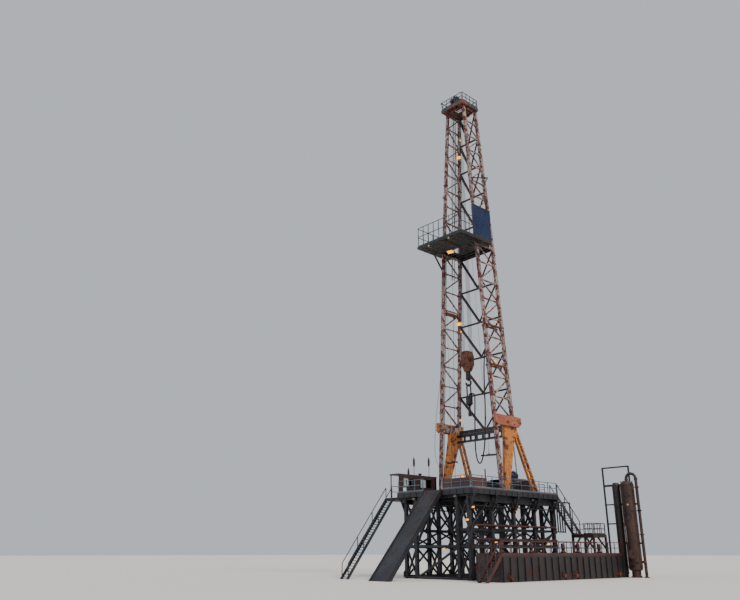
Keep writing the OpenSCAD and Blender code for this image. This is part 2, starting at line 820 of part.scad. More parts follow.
module crown_rails() {
  z = crown_z + crown_beam + 2 * fit;
  e = rail_tube;
  w = crown_width / 2 - e;
  y0 = -crown_front + e;
  y1 = crown_rear - e;
  color("#8fa6b4") {
    rail_run([-w, y0 + 30, z], [-w, y1 - 30, z], crown_rail_height, 4);
    rail_run([w, y0 + 30, z], [w, y1 - 30, z], crown_rail_height, 4);
    rail_run([-w + 30, y0, z], [w - 30, y0, z], crown_rail_height, 4);
    rail_run([-w + 30, y1, z], [w - 30, y1, z], crown_rail_height, 4);
  }
}

finger_y0 = 160 - board_reach;
finger_wide = 40;
spine = 170;
finger_y1 = -mast_depth_half - leg_width - 120;
board_in = mast_x(board_height) + leg_thick / 2 * side_v + fit;
// racking board: side walkways, front and rear beams and the narrow board in the middle
module racking_board() {
  walk = board_half - board_in;
  color("#3a3230") translate([0, 0, board_z]) linear_extrude(board_beam) offset(delta = 0) {
    for (s = [-1, 1]) translate([s > 0 ? board_in : -board_half, -board_reach])
      square([walk, board_reach + board_back]);
    translate([-board_half, -board_reach]) square([2 * board_half, 100]);
    translate([-board_half, finger_y1]) square([2 * board_half, 90]);
    translate([-spine, -board_reach]) square([2 * spine, finger_y1 + board_reach + 90]);
  }
}

// fingers that hold the stands, between the board's side walkways and its middle
module racking_fingers() {
  pitch = (finger_y1 - finger_y0 - 1.5 * finger_wide) / (finger_count - 1);
  color("#3a3230")
  for (s = [-1, 1], i = [0:finger_count - 1])
    translate([s > 0 ? spine + fit : -board_in + fit, finger_y0 + i * pitch, board_z + 10])
      cube([board_in - spine - 2 * fit, finger_wide, board_beam - 20]);
}

// struts from the front of the walkways down to the front legs of the mast
module board_struts() {
  strut = 65;
  color("#3a3230") for (side = [-1, 1]) intersection() {
    side_plane(side) translate([0, 0, side * (leg_thick / 2 + fit + strut / 2)]) plate(strut) scale([1, side_v])
      bar([-1500, board_height + strut], [-mast_depth_half, board_height - 850], strut);
    translate([-wide, -wide, board_z - fit - wide]) cube([2 * wide, 2 * wide, wide]);
  }
}

module board_rails() {
  z = board_z + board_beam + fit;
  e = rail_tube;
  x = board_half - e;
  y = -board_reach + e;
  color("#5f7886") {
    rail_run([-x, y + 30, z], [-x, board_back - e, z], board_rail_height, 6);
    rail_run([-x + 30, y, z], [x - 30, y, z], board_rail_height, 8);
    rail_run([x, y + 30, z], [x, board_back - wind_wall_length - 30, z], board_rail_height, 3);
  }
}

module wind_wall() {
  z = board_z + board_beam + fit;
  color("#234a78")
    block([board_half - 50, board_back - wind_wall_length, z],
          [board_half - 10, board_back, z + wind_wall_height]);
}

module drawworks() {
  z = floor_height + fit;
  x0 = -1250;
  x1 = 1050;
  drum_x0 = -1000;
  drum_x1 = 600;
  drum_y = 2050;
  drum_z = z + 450;
  drum_r = 190;
  flange_r = 330;
  flange = 60;
  guard_r = 400;
  bed = 80;
  y0 = 1550;
  y1 = 2650;
  top = 800;
  motor_x = 740;
  motor_r = 130;
  motor_length = 460;
  color("#5e2a24") {
    block([x0, y0 - 50, z], [x1, y1 + 50, z + bed]);
    block([x0, y0, z + bed + fit], [drum_x0, y1, z + top]);
    translate([0, y1, z]) rotate([90, 0, 0]) linear_extrude(y1 - y0)
      polygon([[drum_x1, bed + fit], [x1, bed + fit], [x1, 330], [970, 690], [870, top], [drum_x1, top]]);
    translate([drum_x0 + fit, drum_y, drum_z]) rotate([0, 90, 0]) union() {
      cylinder(h = drum_x1 - drum_x0 - 2 * fit, r = drum_r, $fn = 48);
      cylinder(h = flange, r = flange_r, $fn = 48);
      translate([0, 0, drum_x1 - drum_x0 - 2 * fit - flange]) cylinder(h = flange, r = flange_r, $fn = 48);
    }
    translate([drum_x0 + fit, drum_y, drum_z]) rotate([90, 0, 90])
      linear_extrude(drum_x1 - drum_x0 - 2 * fit) difference() {
        circle(r = guard_r, $fn = 64);
        circle(r = guard_r - 25, $fn = 64);
        polygon([[0, 0], [-120, 600], [-600, 600], [-600, -600], [600, -600], [600, -150]]);
      }
    translate([motor_x, y0 + 10, z + top + fit]) union() {
      translate([-100, 0, 0]) cube([200, motor_length, motor_r]);
      translate([0, 0, motor_r]) rotate([-90, 0, 0]) cylinder(h = motor_length, r = motor_r, $fn = 48);
    }
    translate([(x0 + drum_x0) / 2, 1900, z + top + fit]) cylinder(h = 620, r = 32, $fn = 24);
  }
}

bend_r = 130;
pipe_d = 56;
pipe_collar = 84;
// pipe up the near front leg, with a bend at its top where the hose hangs
module standpipe() {
  e = hose_points[len(hose_points) - 1];
  drop = (e[2] - mast_z - fit) / cos(mast_slope) - 4;
  reach = (mast_foot_x - e[0]) * cos(mast_slope) + (mast_z - e[2]) * sin(mast_slope) - leg_thick / 2 - fit;
  color("#2f3f52") translate(e) rotate([0, -mast_slope, 0]) union() {
    translate([0, -2 * bend_r, -drop]) cylinder(h = drop + 60, d = pipe_d, $fn = 16);
    translate([0, -bend_r, 60]) rotate([90, 0, 90])
      rotate_extrude(angle = 180, $fn = 64) translate([bend_r, 0]) circle(d = pipe_d, $fn = 16);
    translate([0, 0, 2 * fit]) cylinder(h = 80, d = pipe_collar, $fn = 16);
    translate([0, -2 * bend_r, 20]) cylinder(h = 60, d = pipe_collar, $fn = 16);
    for (i = [1:6]) translate([0, -2 * bend_r - 25, -i * drop / 7]) cube([reach, 50, 40]);
  }
}

// lines between the crown cluster and the shoulders of the travelling block
line_y = crown_sheave / 2 - groove + line_d / 2 + fit;
hang_z = mast_z + block_top - block_length;
shoulder_low = 0.78;
shoulder_in = 0.72;
module drill_lines() {
  w = block_width / 2;
  rise = (w - line_y + line_d / 2) / (w - w * shoulder_in) * (1 - shoulder_low);
  z0 = hang_z + block_length * (shoulder_low + rise) + fit;
  color("#30343a") for (i = [0:line_pairs - 1], s = [-1, 1])
    translate([(i - (line_pairs - 1) / 2) * sheave_gap, well_y + s * line_y, z0])
      cylinder(h = sheave_z - z0, d = line_d, $fn = 8);
}

hose_d = 64;
hose_top = 11600;
hang_x = mast_x(hose_top - mast_z) - leg_thick / 2 * side_v - 58;
// route of the hose: out of the swivel, down in a long loop and up to the standpipe
hose_points = [[190, -450, 8640], [200, -450, 8640], [210, -450, 8640], [267, -450, 8629],
  [316, -450, 8596], [349, -450, 8547], [360, -450, 8490], [352, -450, 8200], [322, -450, 7700],
  [286, -450, 7100], [262, -450, 6600], [250, -450, 6100], [262, -450, 5750], [310, -450, 5450],
  [385, -450, 5260], [485, -450, 5190], [590, -450, 5270], [690, -450, 5500], [775, -449, 5800],
  [840, -447, 6150], [895, -444, 6750], [945, -440, 7400], [975, -436, 8100], [985, -432, 8800],
  [1000, -428, 9500], [1040, -424, 10100], [1110, -420, 10600], [hang_x - 106, -417, 10980],
  [hang_x - 33, -415, 11200], [hang_x + 2, -415, 11330], [hang_x + 10, -415, 11420],
  [hang_x + 6, -415, 11510], [hang_x, -415, hose_top]];
// rings swept between two chosen points
hose_steps = 2;
hose_sides = 10;

// a smooth curve through four points, at t from 0 to 1 between the middle two
function curve(a, b, c, d, t) = 0.5 * ((2 * b) + (c - a) * t + (2 * a - 5 * b + 4 * c - d) * t * t
  + (3 * b - a - 3 * c + d) * t * t * t);
function route(p, k) = [for (i = [0:len(p) - 2], j = [0:k - 1])
  curve(p[max(i - 1, 0)], p[i], p[i + 1], p[min(i + 2, len(p) - 1)], j / k), p[len(p) - 1]];
function unit(v) = v / norm(v);
function along(p, i) = unit(p[min(i + 1, len(p) - 1)] - p[max(i - 1, 0)]);

// tube swept along a route as one closed surface
module tube(points, d, sides) {
  n = len(points);
  up = [0, 1, 0];
  rings = [for (i = [0:n - 1]) let (w = along(points, i), u = unit(cross(up, w)), v = cross(w, u))
    [for (k = [0:sides - 1]) points[i] + d / 2 * (u * cos(360 * k / sides) + v * sin(360 * k / sides))]];
  polyhedron(points = [for (r = rings) each r],
    faces = concat([[for (k = [0:sides - 1]) k]],
      [for (i = [0:n - 2], k = [0:sides - 1]) let (a = i * sides + k, b = i * sides + (k + 1) % sides)
        [a, a + sides, b + sides, b]],
      [[for (k = [0:sides - 1]) n * sides - 1 - k]]), convexity = 6);
}
module kelly_hose() {
  color("#23262b") tube(route(hose_points, hose_steps), hose_d, hose_sides);
}

// travelling block: two cheek plates over the sheaves, with open sides
module travelling_block() {
  w = block_width / 2;
  outline = [[-90, 0], [90, 0], [w, block_length * 0.36], [w, block_length * shoulder_low],
    [w * shoulder_in, block_length], [-w * shoulder_in, block_length],
    [-w, block_length * shoulder_low], [-w, block_length * 0.36]];
  color("#8a4a2a") translate([0, well_y, hang_z]) difference() {
    rotate([90, 0, 90]) linear_extrude(block_depth, center = true) polygon(outline);
    for (i = [0:line_pairs], s = [-1, 1])
      translate([(i - line_pairs / 2) * sheave_gap - 8, s > 0 ? w - 70 : -w - 1, block_length * 0.3])
        cube([16, 71, block_length]);
  }
}

hook_body = 420;
hook_d = 250;
hook_ring = 150;
hook_half = 35;
bail_rod = 50;
hook_zc = hang_z - fit - hook_body - hook_ring - 20;
// hook: a spring case with a recurved hook below it
module hook() {
  z1 = hang_z - fit;
  color("#33363b") translate([0, well_y, 0]) union() {
    translate([0, 0, z1 - hook_body]) cylinder(h = hook_body, d = hook_d, $fn = 32);
    translate([0, 0, hook_zc]) rotate([90, 0, 0]) linear_extrude(2 * hook_half, center = true) {
      difference() {
        circle(r = hook_ring + hook_half - 5, $fn = 64);
        circle(r = hook_ring - 40, $fn = 64);
        polygon([[0, 0], [0, 300], [-300, 300], [-300, 109]]);
      }
      translate([-45, hook_ring - 30]) square([90, 80]);
    }
  }
}

bail_gap = 500;
bail_slack = 8.4;
swivel_top = hook_zc - hook_ring - 30 - bail_gap;
swivel_body = 400;
swivel_d = 340;
stem_d = 110;
stem_length = 600;
neck_d = 76;
neck_r = 90;
neck_z = hose_points[0][2];
collar = 26;
// swivel: a bail over a round body, a gooseneck at its side and a stem with its sub below
module swivel() {
  z0 = swivel_top - swivel_body;
  bail_x = swivel_d / 2 - bail_rod / 2;
  bail_z = hook_zc - (hook_ring - 40) + bail_rod / 2 + bail_slack - bail_x;
  color("#3d2f2c") translate([0, well_y, 0]) union() {
    translate([0, 0, z0]) cylinder(h = swivel_body, d = swivel_d, $fn = 32);
    translate([0, 0, z0 - 90]) cylinder(h = 91, d1 = 150, d2 = swivel_d - 40, $fn = 32);
    translate([0, 0, z0 - stem_length]) cylinder(h = stem_length, d = stem_d, $fn = 24);
    translate([0, 0, z0 - stem_length]) cylinder(h = 200, d = 170, $fn = 24);
    rotate([90, 0, 90]) linear_extrude(bail_rod, center = true) difference() {
      union() {
        translate([0, bail_z]) circle(r = bail_x + bail_rod / 2, $fn = 64);
        translate([-bail_x - bail_rod / 2, swivel_top - 200])
          square([2 * bail_x + bail_rod, bail_z - swivel_top + 200]);
      }
      translate([0, bail_z]) circle(r = bail_x - bail_rod / 2, $fn = 64);
      translate([-bail_x + bail_rod / 2, swivel_top - 201])
        square([2 * bail_x - bail_rod, bail_z - swivel_top + 201]);
    }
    translate([0, 0, swivel_top - 5]) cylinder(h = neck_z - neck_r - swivel_top + 5, d = neck_d, $fn = 24);
    translate([0, 0, swivel_top - 5])
      cylinder(h = neck_z - neck_r - swivel_top + 25, d = neck_d + collar, $fn = 24);
    translate([neck_r, 0, neck_z - neck_r]) rotate([90, 0, 0]) rotate([0, 0, 90])
      rotate_extrude(angle = 90, $fn = 48) translate([neck_r, 0]) circle(d = neck_d, $fn = 24);
    translate([neck_r - 20, 0, neck_z]) rotate([0, 90, 0])
      cylinder(h = hose_points[0][0] - fit - neck_r + 20, d = neck_d + collar, $fn = 24);
  }
}

// one lamp: a tapered case with a yoke behind it, its face along +X
module lamp() {
  translate([20, 0, 0]) rotate([90, 0, 0]) linear_extrude(150, center = true)
    polygon([[0, -34], [80, -50], [80, 50], [0, 34]]);
  translate([0, -30, -20]) cube([21, 60, 40]);
}

// lamps on the legs of the mast, on the board and under the floor
lamp_low = mast_base + 400;
lamp_high = 8600;
near_lamps = [lamp_low + 700, 6300, lamp_high];
far_lamps = [lamp_low, lamp_high, mast_height - 1400];
lamp_under = 75;
module floodlights() {
  column_x = box_outer_x - box_width + column_width / 2;
  z = chord_top - lamp_under;
  color("#e8e0c0") {
    for (h = near_lamps) side_plane(near)
      translate([mast_y(h) - leg_width / 2 - 8, h, -leg_thick / 2 - fit]) rotate([0, 90, 0]) lamp();
    for (h = far_lamps) side_plane(far)
      translate([mast_y(h) - leg_width / 2 - 8, h, leg_thick / 2 + fit]) rotate([0, -90, 0]) lamp();
    for (s = [-1, 1]) translate([s * board_half * 0.45, -board_reach + 50, board_z - fit])
      rotate([0, 90, 0]) lamp();
    for (s = [-1, 1]) translate([s * column_x, -box_front - fit, z]) rotate([0, 0, -90]) lamp();
    for (y = [-1400, 1400]) translate([box_outer_x + fit, y, z]) lamp();
  }
}

// two open mud tanks in a row, with ribs on their sides
module mud_tank() {
  color("#3b2a2a") for (i = [0, 1]) translate([tank_x0, tank_y1 - (i + 1) * tank_length + fit, 0]) {
    l = tank_length - 2 * fit;
    difference() {
      cube([tank_width, l, tank_height]);
      translate([tank_wall, tank_wall, tank_wall])
        cube([tank_width - 2 * tank_wall, l - 2 * tank_wall, tank_height]);
    }
  }
}

tank_walk = 420;
// walkway gratings and handrails on the tanks
module tank_walkway() {
  y0 = tank_y1 - 2 * tank_length;
  z = tank_height + fit;
  grate = 30;
  color("#7c3b33") {
    block([tank_x0, y0, z], [tank_x0 + tank_walk, tank_y1, z + grate]);
    block([tank_x1 - tank_walk, y0, z], [tank_x1, tank_y1, z + grate]);
    for (x = [tank_x0 + rail_tube, tank_x1 - rail_tube])
      rail_run([x, y0 + 60, z + grate + fit], [x, tank_y1 - 60, z + grate + fit], rail_height, 16);
  }
}

// steps at the front end of the tanks
module tank_stair() {
  y0 = tank_y1 - 2 * tank_length;
  run = 1000;
  color("#7c3b33") translate([tank_x1 - tank_walk, y0, 0]) mirror([0, 1, 0]) {
    stair_frame(run, tank_height, tank_walk);
    stair_treads(run, tank_height, tank_walk);
  }
}

vent_d = 140;
vent_r = 250;
vent_collar = 175;
// tall vessel with dished ends, and a vent pipe that bends over its top and runs down its side
module mud_gas_separator() {
  r = separator_d / 2;
  h = separator_height;
  color("#7a4a38") translate([separator_x, separator_y, 0]) {
    union() {
      rotate_extrude($fn = 48) polygon([[0, 0], [r - 60, 0], [r - 60, 60], [r - 110, 60], [r - 110, 300],
        [r - 40, 330], [r, 400], [r, h - 160], [r - 60, h - 60], [r - 160, h], [0, h]]);
      translate([0, 0, h - 60]) cylinder(h = 160, d = vent_d, $fn = 32);
      translate([vent_r, 0, h + 80]) rotate([90, 0, 0])
        rotate_extrude(angle = 180, $fn = 64) translate([vent_r, 0]) circle(d = vent_d, $fn = 32);
      translate([0, 0, h + 40]) cylinder(h = 60, d = vent_collar, $fn = 32);
      translate([2 * vent_r, 0, h + 20]) cylinder(h = 80, d = vent_collar, $fn = 32);
      translate([2 * vent_r, 0, 0]) cylinder(h = h + 60, d = vent_d, $fn = 32);
      translate([2 * vent_r, 0, 0]) cylinder(h = 40, d = 260, $fn = 32);
      for (z = [1500, 3300]) {
        translate([r - 60, -40, z]) cube([2 * vent_r - r + 40, 80, 80]);
        translate([-r - vessel_gap + fit, -50, z]) cube([2 * vessel_gap, 100, 90]);
        translate([-60, r - frame_gap, z]) cube([120, 2 * frame_gap - fit, 90]);
      }
    }
  }
}

// smaller vessel beside it
module trip_vessel() {
  r = vessel_d / 2;
  h = separator_height - 60;
  color("#4a3530") translate([separator_x - separator_d / 2 - vessel_gap - r, separator_y, 0])
    rotate_extrude($fn = 48) polygon([[0, 0], [r - 30, 0], [r - 30, 120], [r, 160],
      [r, h - 100], [r - 60, h], [0, h]]);
}

// frame that stands behind the vessels
module separator_frame() {
  x0 = tank_x0 + 200;
  x1 = separator_x - 50;
  top = 5230;
  post = 70;
  color("#3a3330") along_x(separator_y + separator_d / 2 + frame_gap + post / 2) plate(post) {
    for (x = [x0, x1]) bar([x, 0], [x, top], post);
    bar([x0 - post / 2, top - post / 2], [x1 + post / 2, top - post / 2], post);
    bar([x0, 4310], [x1, 4310], 100);
    for (z = [2470, 3387]) bar([x0, z], [x1, z], 60);
  }
}

substructure_far_outer_truss();
substructure_far_inner_truss();
substructure_near_inner_truss();
substructure_near_outer_truss();
substructure_far_ties();
substructure_near_ties();
substructure_spreaders();
floor_beams();
floor_side_brackets();
floor_plates();
rotary_table();
floor_rails();
floor_wind_panels();
v_door_ramp();
front_stair();
front_stair_treads();
rear_stair();
rear_stair_treads();
rear_deck();
rear_pipe_rack();
doghouse_floor();
doghouse_walls();
doghouse_roof();
doghouse_porch();
mast_far_side();
mast_near_side();
mast_back_lower();
mast_back_upper();
a_frame_far_front_leg();
a_frame_near_front_leg();
a_frame_far_rear_leg();
a_frame_near_rear_leg();
a_frame_far_head();
a_frame_near_head();
a_frame_cross_beams();
crown_frame();
crown_deck();
crown_sheaves();
crown_rails();
racking_board();
racking_fingers();
board_struts();
board_rails();
wind_wall();
drawworks();
standpipe();
kelly_hose();
drill_lines();
travelling_block();
hook();
swivel();
floodlights();
mud_tank();
tank_walkway();
tank_stair();
mud_gas_separator();
trip_vessel();
separator_frame();
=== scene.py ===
# A half-size oil drilling rig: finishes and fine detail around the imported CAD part.
# Sizes are metres in the part's own frame; X runs across the mast, Y to its back and Z up.
import json
import math

import bmesh
import bpy
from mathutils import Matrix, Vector


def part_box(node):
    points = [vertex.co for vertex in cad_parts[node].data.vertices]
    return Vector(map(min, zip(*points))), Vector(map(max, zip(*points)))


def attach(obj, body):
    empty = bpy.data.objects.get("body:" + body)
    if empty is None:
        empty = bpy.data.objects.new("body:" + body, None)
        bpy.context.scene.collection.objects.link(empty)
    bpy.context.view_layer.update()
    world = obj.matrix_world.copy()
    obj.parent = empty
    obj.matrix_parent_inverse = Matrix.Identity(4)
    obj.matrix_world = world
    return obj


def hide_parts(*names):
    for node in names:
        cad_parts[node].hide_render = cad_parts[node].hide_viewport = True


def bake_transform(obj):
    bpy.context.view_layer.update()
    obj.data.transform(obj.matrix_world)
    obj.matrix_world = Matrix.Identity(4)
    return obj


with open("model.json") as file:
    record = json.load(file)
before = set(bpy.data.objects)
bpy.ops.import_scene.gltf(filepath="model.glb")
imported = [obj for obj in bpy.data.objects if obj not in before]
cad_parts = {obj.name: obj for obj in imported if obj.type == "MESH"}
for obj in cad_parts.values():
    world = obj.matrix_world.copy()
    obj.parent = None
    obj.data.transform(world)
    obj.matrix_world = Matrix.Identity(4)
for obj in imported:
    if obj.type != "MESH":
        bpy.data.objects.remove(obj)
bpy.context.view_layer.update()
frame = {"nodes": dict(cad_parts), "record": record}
NODES = frame["nodes"]
SCENE = bpy.context.scene
X, Y, Z = Vector((1, 0, 0)), Vector((0, 1, 0)), Vector((0, 0, 1))

# sizes repeated from the part
FLOOR = 3.8
FLOOR_HALF = 2.3
FLOOR_FRONT = -3.35
FLOOR_REAR = 3.2
BOX_X = 2.0
BOX_FRONT = -3.2
BEAM_Z = (1.38, 2.08, 3.2)
COLUMN_ROWS = (-3.125, -1.6, 0.0, 1.6, 3.125)
COLUMN_IN, COLUMN_OUT = 1.275, 1.925
FOOT_X, HEAD_X = 1.925, 0.6
# half of the mast's depth up to the board, and how much narrower that is at the crown
DEPTH_HALF, NARROWING = 0.675, 0.175
LEG = 0.15
LACE = 0.062
BASE_H = 3.45
BOARD_H = 12.7
MAST_H = 21.5
LEAN = (FOOT_X - HEAD_X) / MAST_H
BOARD_Z = FLOOR + BOARD_H
BOARD_HALF = 1.55
BOARD_FRONT = -2.35
CROWN_TOP = FLOOR + MAST_H + 0.18
WELL_Y = -0.45
TANK_X0, TANK_X1 = 3.0, 4.3
TANK_Y0, TANK_Y1 = -4.109, 5.19
VESSEL = Vector((4.68, 5.6006, 0))
ROPE = 0.018
# the clearance that the part keeps between one solid and the next
GAP = 0.0003


def show(name, mesh):
    """Put a mesh in the scene as an object at the origin."""
    piece = bpy.data.objects.new(name, mesh)
    SCENE.collection.objects.link(piece)
    return piece


# the camera at the photograph's viewing angle
CAMERA_TURN, CAMERA_PAN, CAMERA_TILT = math.radians(39.324), math.radians(8.346), math.radians(19.247)
CAMERA_REACH, CAMERA_Z = 36.6465, 1.1105
PICTURE_WIDTH, FOCAL_PIXELS = 740, 723.9
lens = bpy.data.cameras.new("camera")
lens.sensor_fit = "HORIZONTAL"
lens.sensor_width = 36
lens.lens = FOCAL_PIXELS / PICTURE_WIDTH * lens.sensor_width
lens.clip_end = 1000
camera = show("camera", lens)
camera.location = (CAMERA_REACH * math.sin(CAMERA_TURN), -CAMERA_REACH * math.cos(CAMERA_TURN), CAMERA_Z)
camera.rotation_euler = (math.pi / 2 + CAMERA_TILT, 0, CAMERA_TURN + CAMERA_PAN)
SCENE.camera = camera


def linear(hexcode):
    """Linear RGBA of an sRGB hex colour."""
    parts = [int(hexcode[i:i + 2], 16) / 255 for i in (1, 3, 5)]
    return (*(c / 12.92 if c <= 0.04045 else ((c + 0.055) / 1.055) ** 2.4 for c in parts), 1)


def per_mm(size):
    """Scale of a texture whose cells are this many millimetres across."""
    return 1000 / size


def feed(tree, node, inputs):
    """Give a node its inputs: plain values, sockets, or nodes whose first output links in."""
    for key, value in inputs.items():
        if isinstance(value, bpy.types.Node):
            value = next(socket for socket in value.outputs if socket.enabled)
        if isinstance(value, bpy.types.NodeSocket):
            tree.links.new(value, node.inputs[key])
        else:
            node.inputs[key].default_value = value


def add(tree, kind, inputs=None, **settings):
    """A node of this kind with its settings and its inputs."""
    node = tree.nodes.new(kind)
    for key, value in settings.items():
        setattr(node, key, value)
    feed(tree, node, inputs or {})
    return node


def finish_of(name):
    """An empty finish: its material, its tree, its surface shader and the place on the object."""
    material = bpy.data.materials.new(name)
    material.use_nodes = True
    tree = material.node_tree
    place = add(tree, "ShaderNodeTexCoord").outputs["Object"]
    return material, tree, tree.nodes["Principled BSDF"], place


def old_paint(name, colour, faded, rust, share, gloss=0.5, patch=260, edge=0.0, metallic=0.0):
    """Enamel on rolled steel after years outdoors: chalky fading, rain streaks, rust through the chips.

    share is the part of the surface that has rusted, patch the width of its patches in millimetres,
    and edge the width of the worn arrises in metres.
    """
    material, tree, skin, place = finish_of(name)
    chalk = add(tree, "ShaderNodeTexNoise", {"Vector": place, "Scale": per_mm(900), "Detail": 3})
    chalk = add(tree, "ShaderNodeMapRange", {"Value": chalk, "From Min": 0.4, "From Max": 0.65})
    coat = add(tree, "ShaderNodeMix", {"Factor": chalk, "A": linear(colour), "B": linear(faded)},
               data_type="RGBA")
    # rain draws the stain down, so its cells are 60 mm wide and half a metre long
    drawn = add(tree, "ShaderNodeMapping", {"Vector": place, "Scale": (1, 1, 0.12)})
    streak = add(tree, "ShaderNodeTexNoise", {"Vector": drawn, "Scale": per_mm(60), "Detail": 5,
                                              "Roughness": 0.6})
    # the further the rust has gone, the lower the noise value that shows it
    bare = 0.3 * share
    streak = add(tree, "ShaderNodeMapRange", {"Value": streak, "From Min": 0.66 - bare,
                                              "From Max": 0.84 - bare, "To Max": 0.75})
    coat = add(tree, "ShaderNodeMix", {"Factor": streak, "A": coat, "B": linear(rust)}, data_type="RGBA")
    blot = add(tree, "ShaderNodeTexNoise", {"Vector": place, "Scale": per_mm(patch), "Detail": 9,
                                            "Roughness": 0.68})
    worn = add(tree, "ShaderNodeMapRange", {"Value": blot, "From Min": 0.68 - bare, "From Max": 0.73 - bare})
    if edge:
        rounded = add(tree, "ShaderNodeBevel", {"Radius": edge}, samples=4)
        flat = add(tree, "ShaderNodeNewGeometry").outputs["Normal"]
        turn = add(tree, "ShaderNodeVectorMath", {0: rounded, 1: flat}, operation="DOT_PRODUCT")
        arris = add(tree, "ShaderNodeMapRange", {"Value": turn, "From Min": 0.995, "From Max": 0.9,
                                                 "To Max": 0.8})
        worn = add(tree, "ShaderNodeMath", {0: worn, 1: arris}, operation="MAXIMUM")
    coat = add(tree, "ShaderNodeMix", {"Factor": worn, "A": coat, "B": linear(rust)}, data_type="RGBA")
    dull = add(tree, "ShaderNodeMapRange", {"Value": worn, "To Min": gloss, "To Max": 0.88})
    pits = add(tree, "ShaderNodeBump", {"Height": blot, "Strength": 0.35, "Distance": 0.006})
    feed(tree, skin, {"Base Color": coat, "Roughness": dull, "Normal": pits, "Metallic": metallic})
    return material


def stranded_rope(name, steel, grease):
    """Wire rope: strands that wind round it every 90 mm, dark grease in the grooves between them."""
    material, tree, skin, place = finish_of(name)
    wind = add(tree, "ShaderNodeMapping", {"Vector": place, "Rotation": (0, 0.7, 0.4)})
    strand = add(tree, "ShaderNodeTexWave", {"Vector": wind, "Scale": per_mm(90), "Distortion": 0.4},
                 bands_direction="Z").outputs["Fac"]
    coat = add(tree, "ShaderNodeMix", {"Factor": strand, "A": linear(grease), "B": linear(steel)},
               data_type="RGBA")
    groove = add(tree, "ShaderNodeBump", {"Height": strand, "Distance": 0.003})
    feed(tree, skin, {"Base Color": coat, "Normal": groove, "Metallic": 0.6, "Roughness": 0.5})
    return material


def wrapped_rubber(name, colour, dust):
    """Cloth-wrapped hose rubber: a dull skin with the weave's 24 mm bands and dust on it."""
    material, tree, skin, place = finish_of(name)
    # six bands of the weave go into one cell of the wave
    weave = add(tree, "ShaderNodeTexWave", {"Vector": place, "Scale": per_mm(24 * 6), "Distortion": 1.5,
                                            "Detail": 2}, bands_direction="Z").outputs["Fac"]
    dirt = add(tree, "ShaderNodeTexNoise", {"Vector": place, "Scale": per_mm(150), "Detail": 6})
    dirt = add(tree, "ShaderNodeMapRange", {"Value": dirt, "From Min": 0.5, "From Max": 0.75, "To Max": 0.6})
    coat = add(tree, "ShaderNodeMix", {"Factor": dirt, "A": linear(colour), "B": linear(dust)},
               data_type="RGBA")
    ridge = add(tree, "ShaderNodeBump", {"Height": weave, "Strength": 0.5, "Distance": 0.002})
    feed(tree, skin, {"Base Color": coat, "Normal": ridge, "Roughness": 0.78, "IOR": 1.52})
    return material


def lit_glass(name, colour, strength):
    """The glowing front glass of a floodlight: warm in the middle of its prisms, darker between."""
    material, tree, skin, place = finish_of(name)
    prism = add(tree, "ShaderNodeTexVoronoi", {"Vector": place, "Scale": per_mm(22)})
    glow = add(tree, "ShaderNodeMapRange", {"Value": prism, "To Min": 1.0, "To Max": 0.55})
    light = add(tree, "ShaderNodeMix", {"Factor": glow, "A": linear("#c9772a"), "B": linear(colour)},
                data_type="RGBA")
    feed(tree, skin, {"Emission Color": light, "Base Color": light, "Emission Strength": strength,
                      "Roughness": 0.15})
    return material


def grimy_glass(name, colour):
    """Window glass behind years of dust: half clear, smeared, with a dull reflection."""
    material, tree, skin, place = finish_of(name)
    smear = add(tree, "ShaderNodeTexNoise", {"Vector": place, "Scale": per_mm(120), "Detail": 5})
    dull = add(tree, "ShaderNodeMapRange", {"Value": smear, "To Min": 0.1, "To Max": 0.6})
    feed(tree, skin, {"Roughness": dull, "Base Color": linear(colour), "IOR": 1.5})
    return material


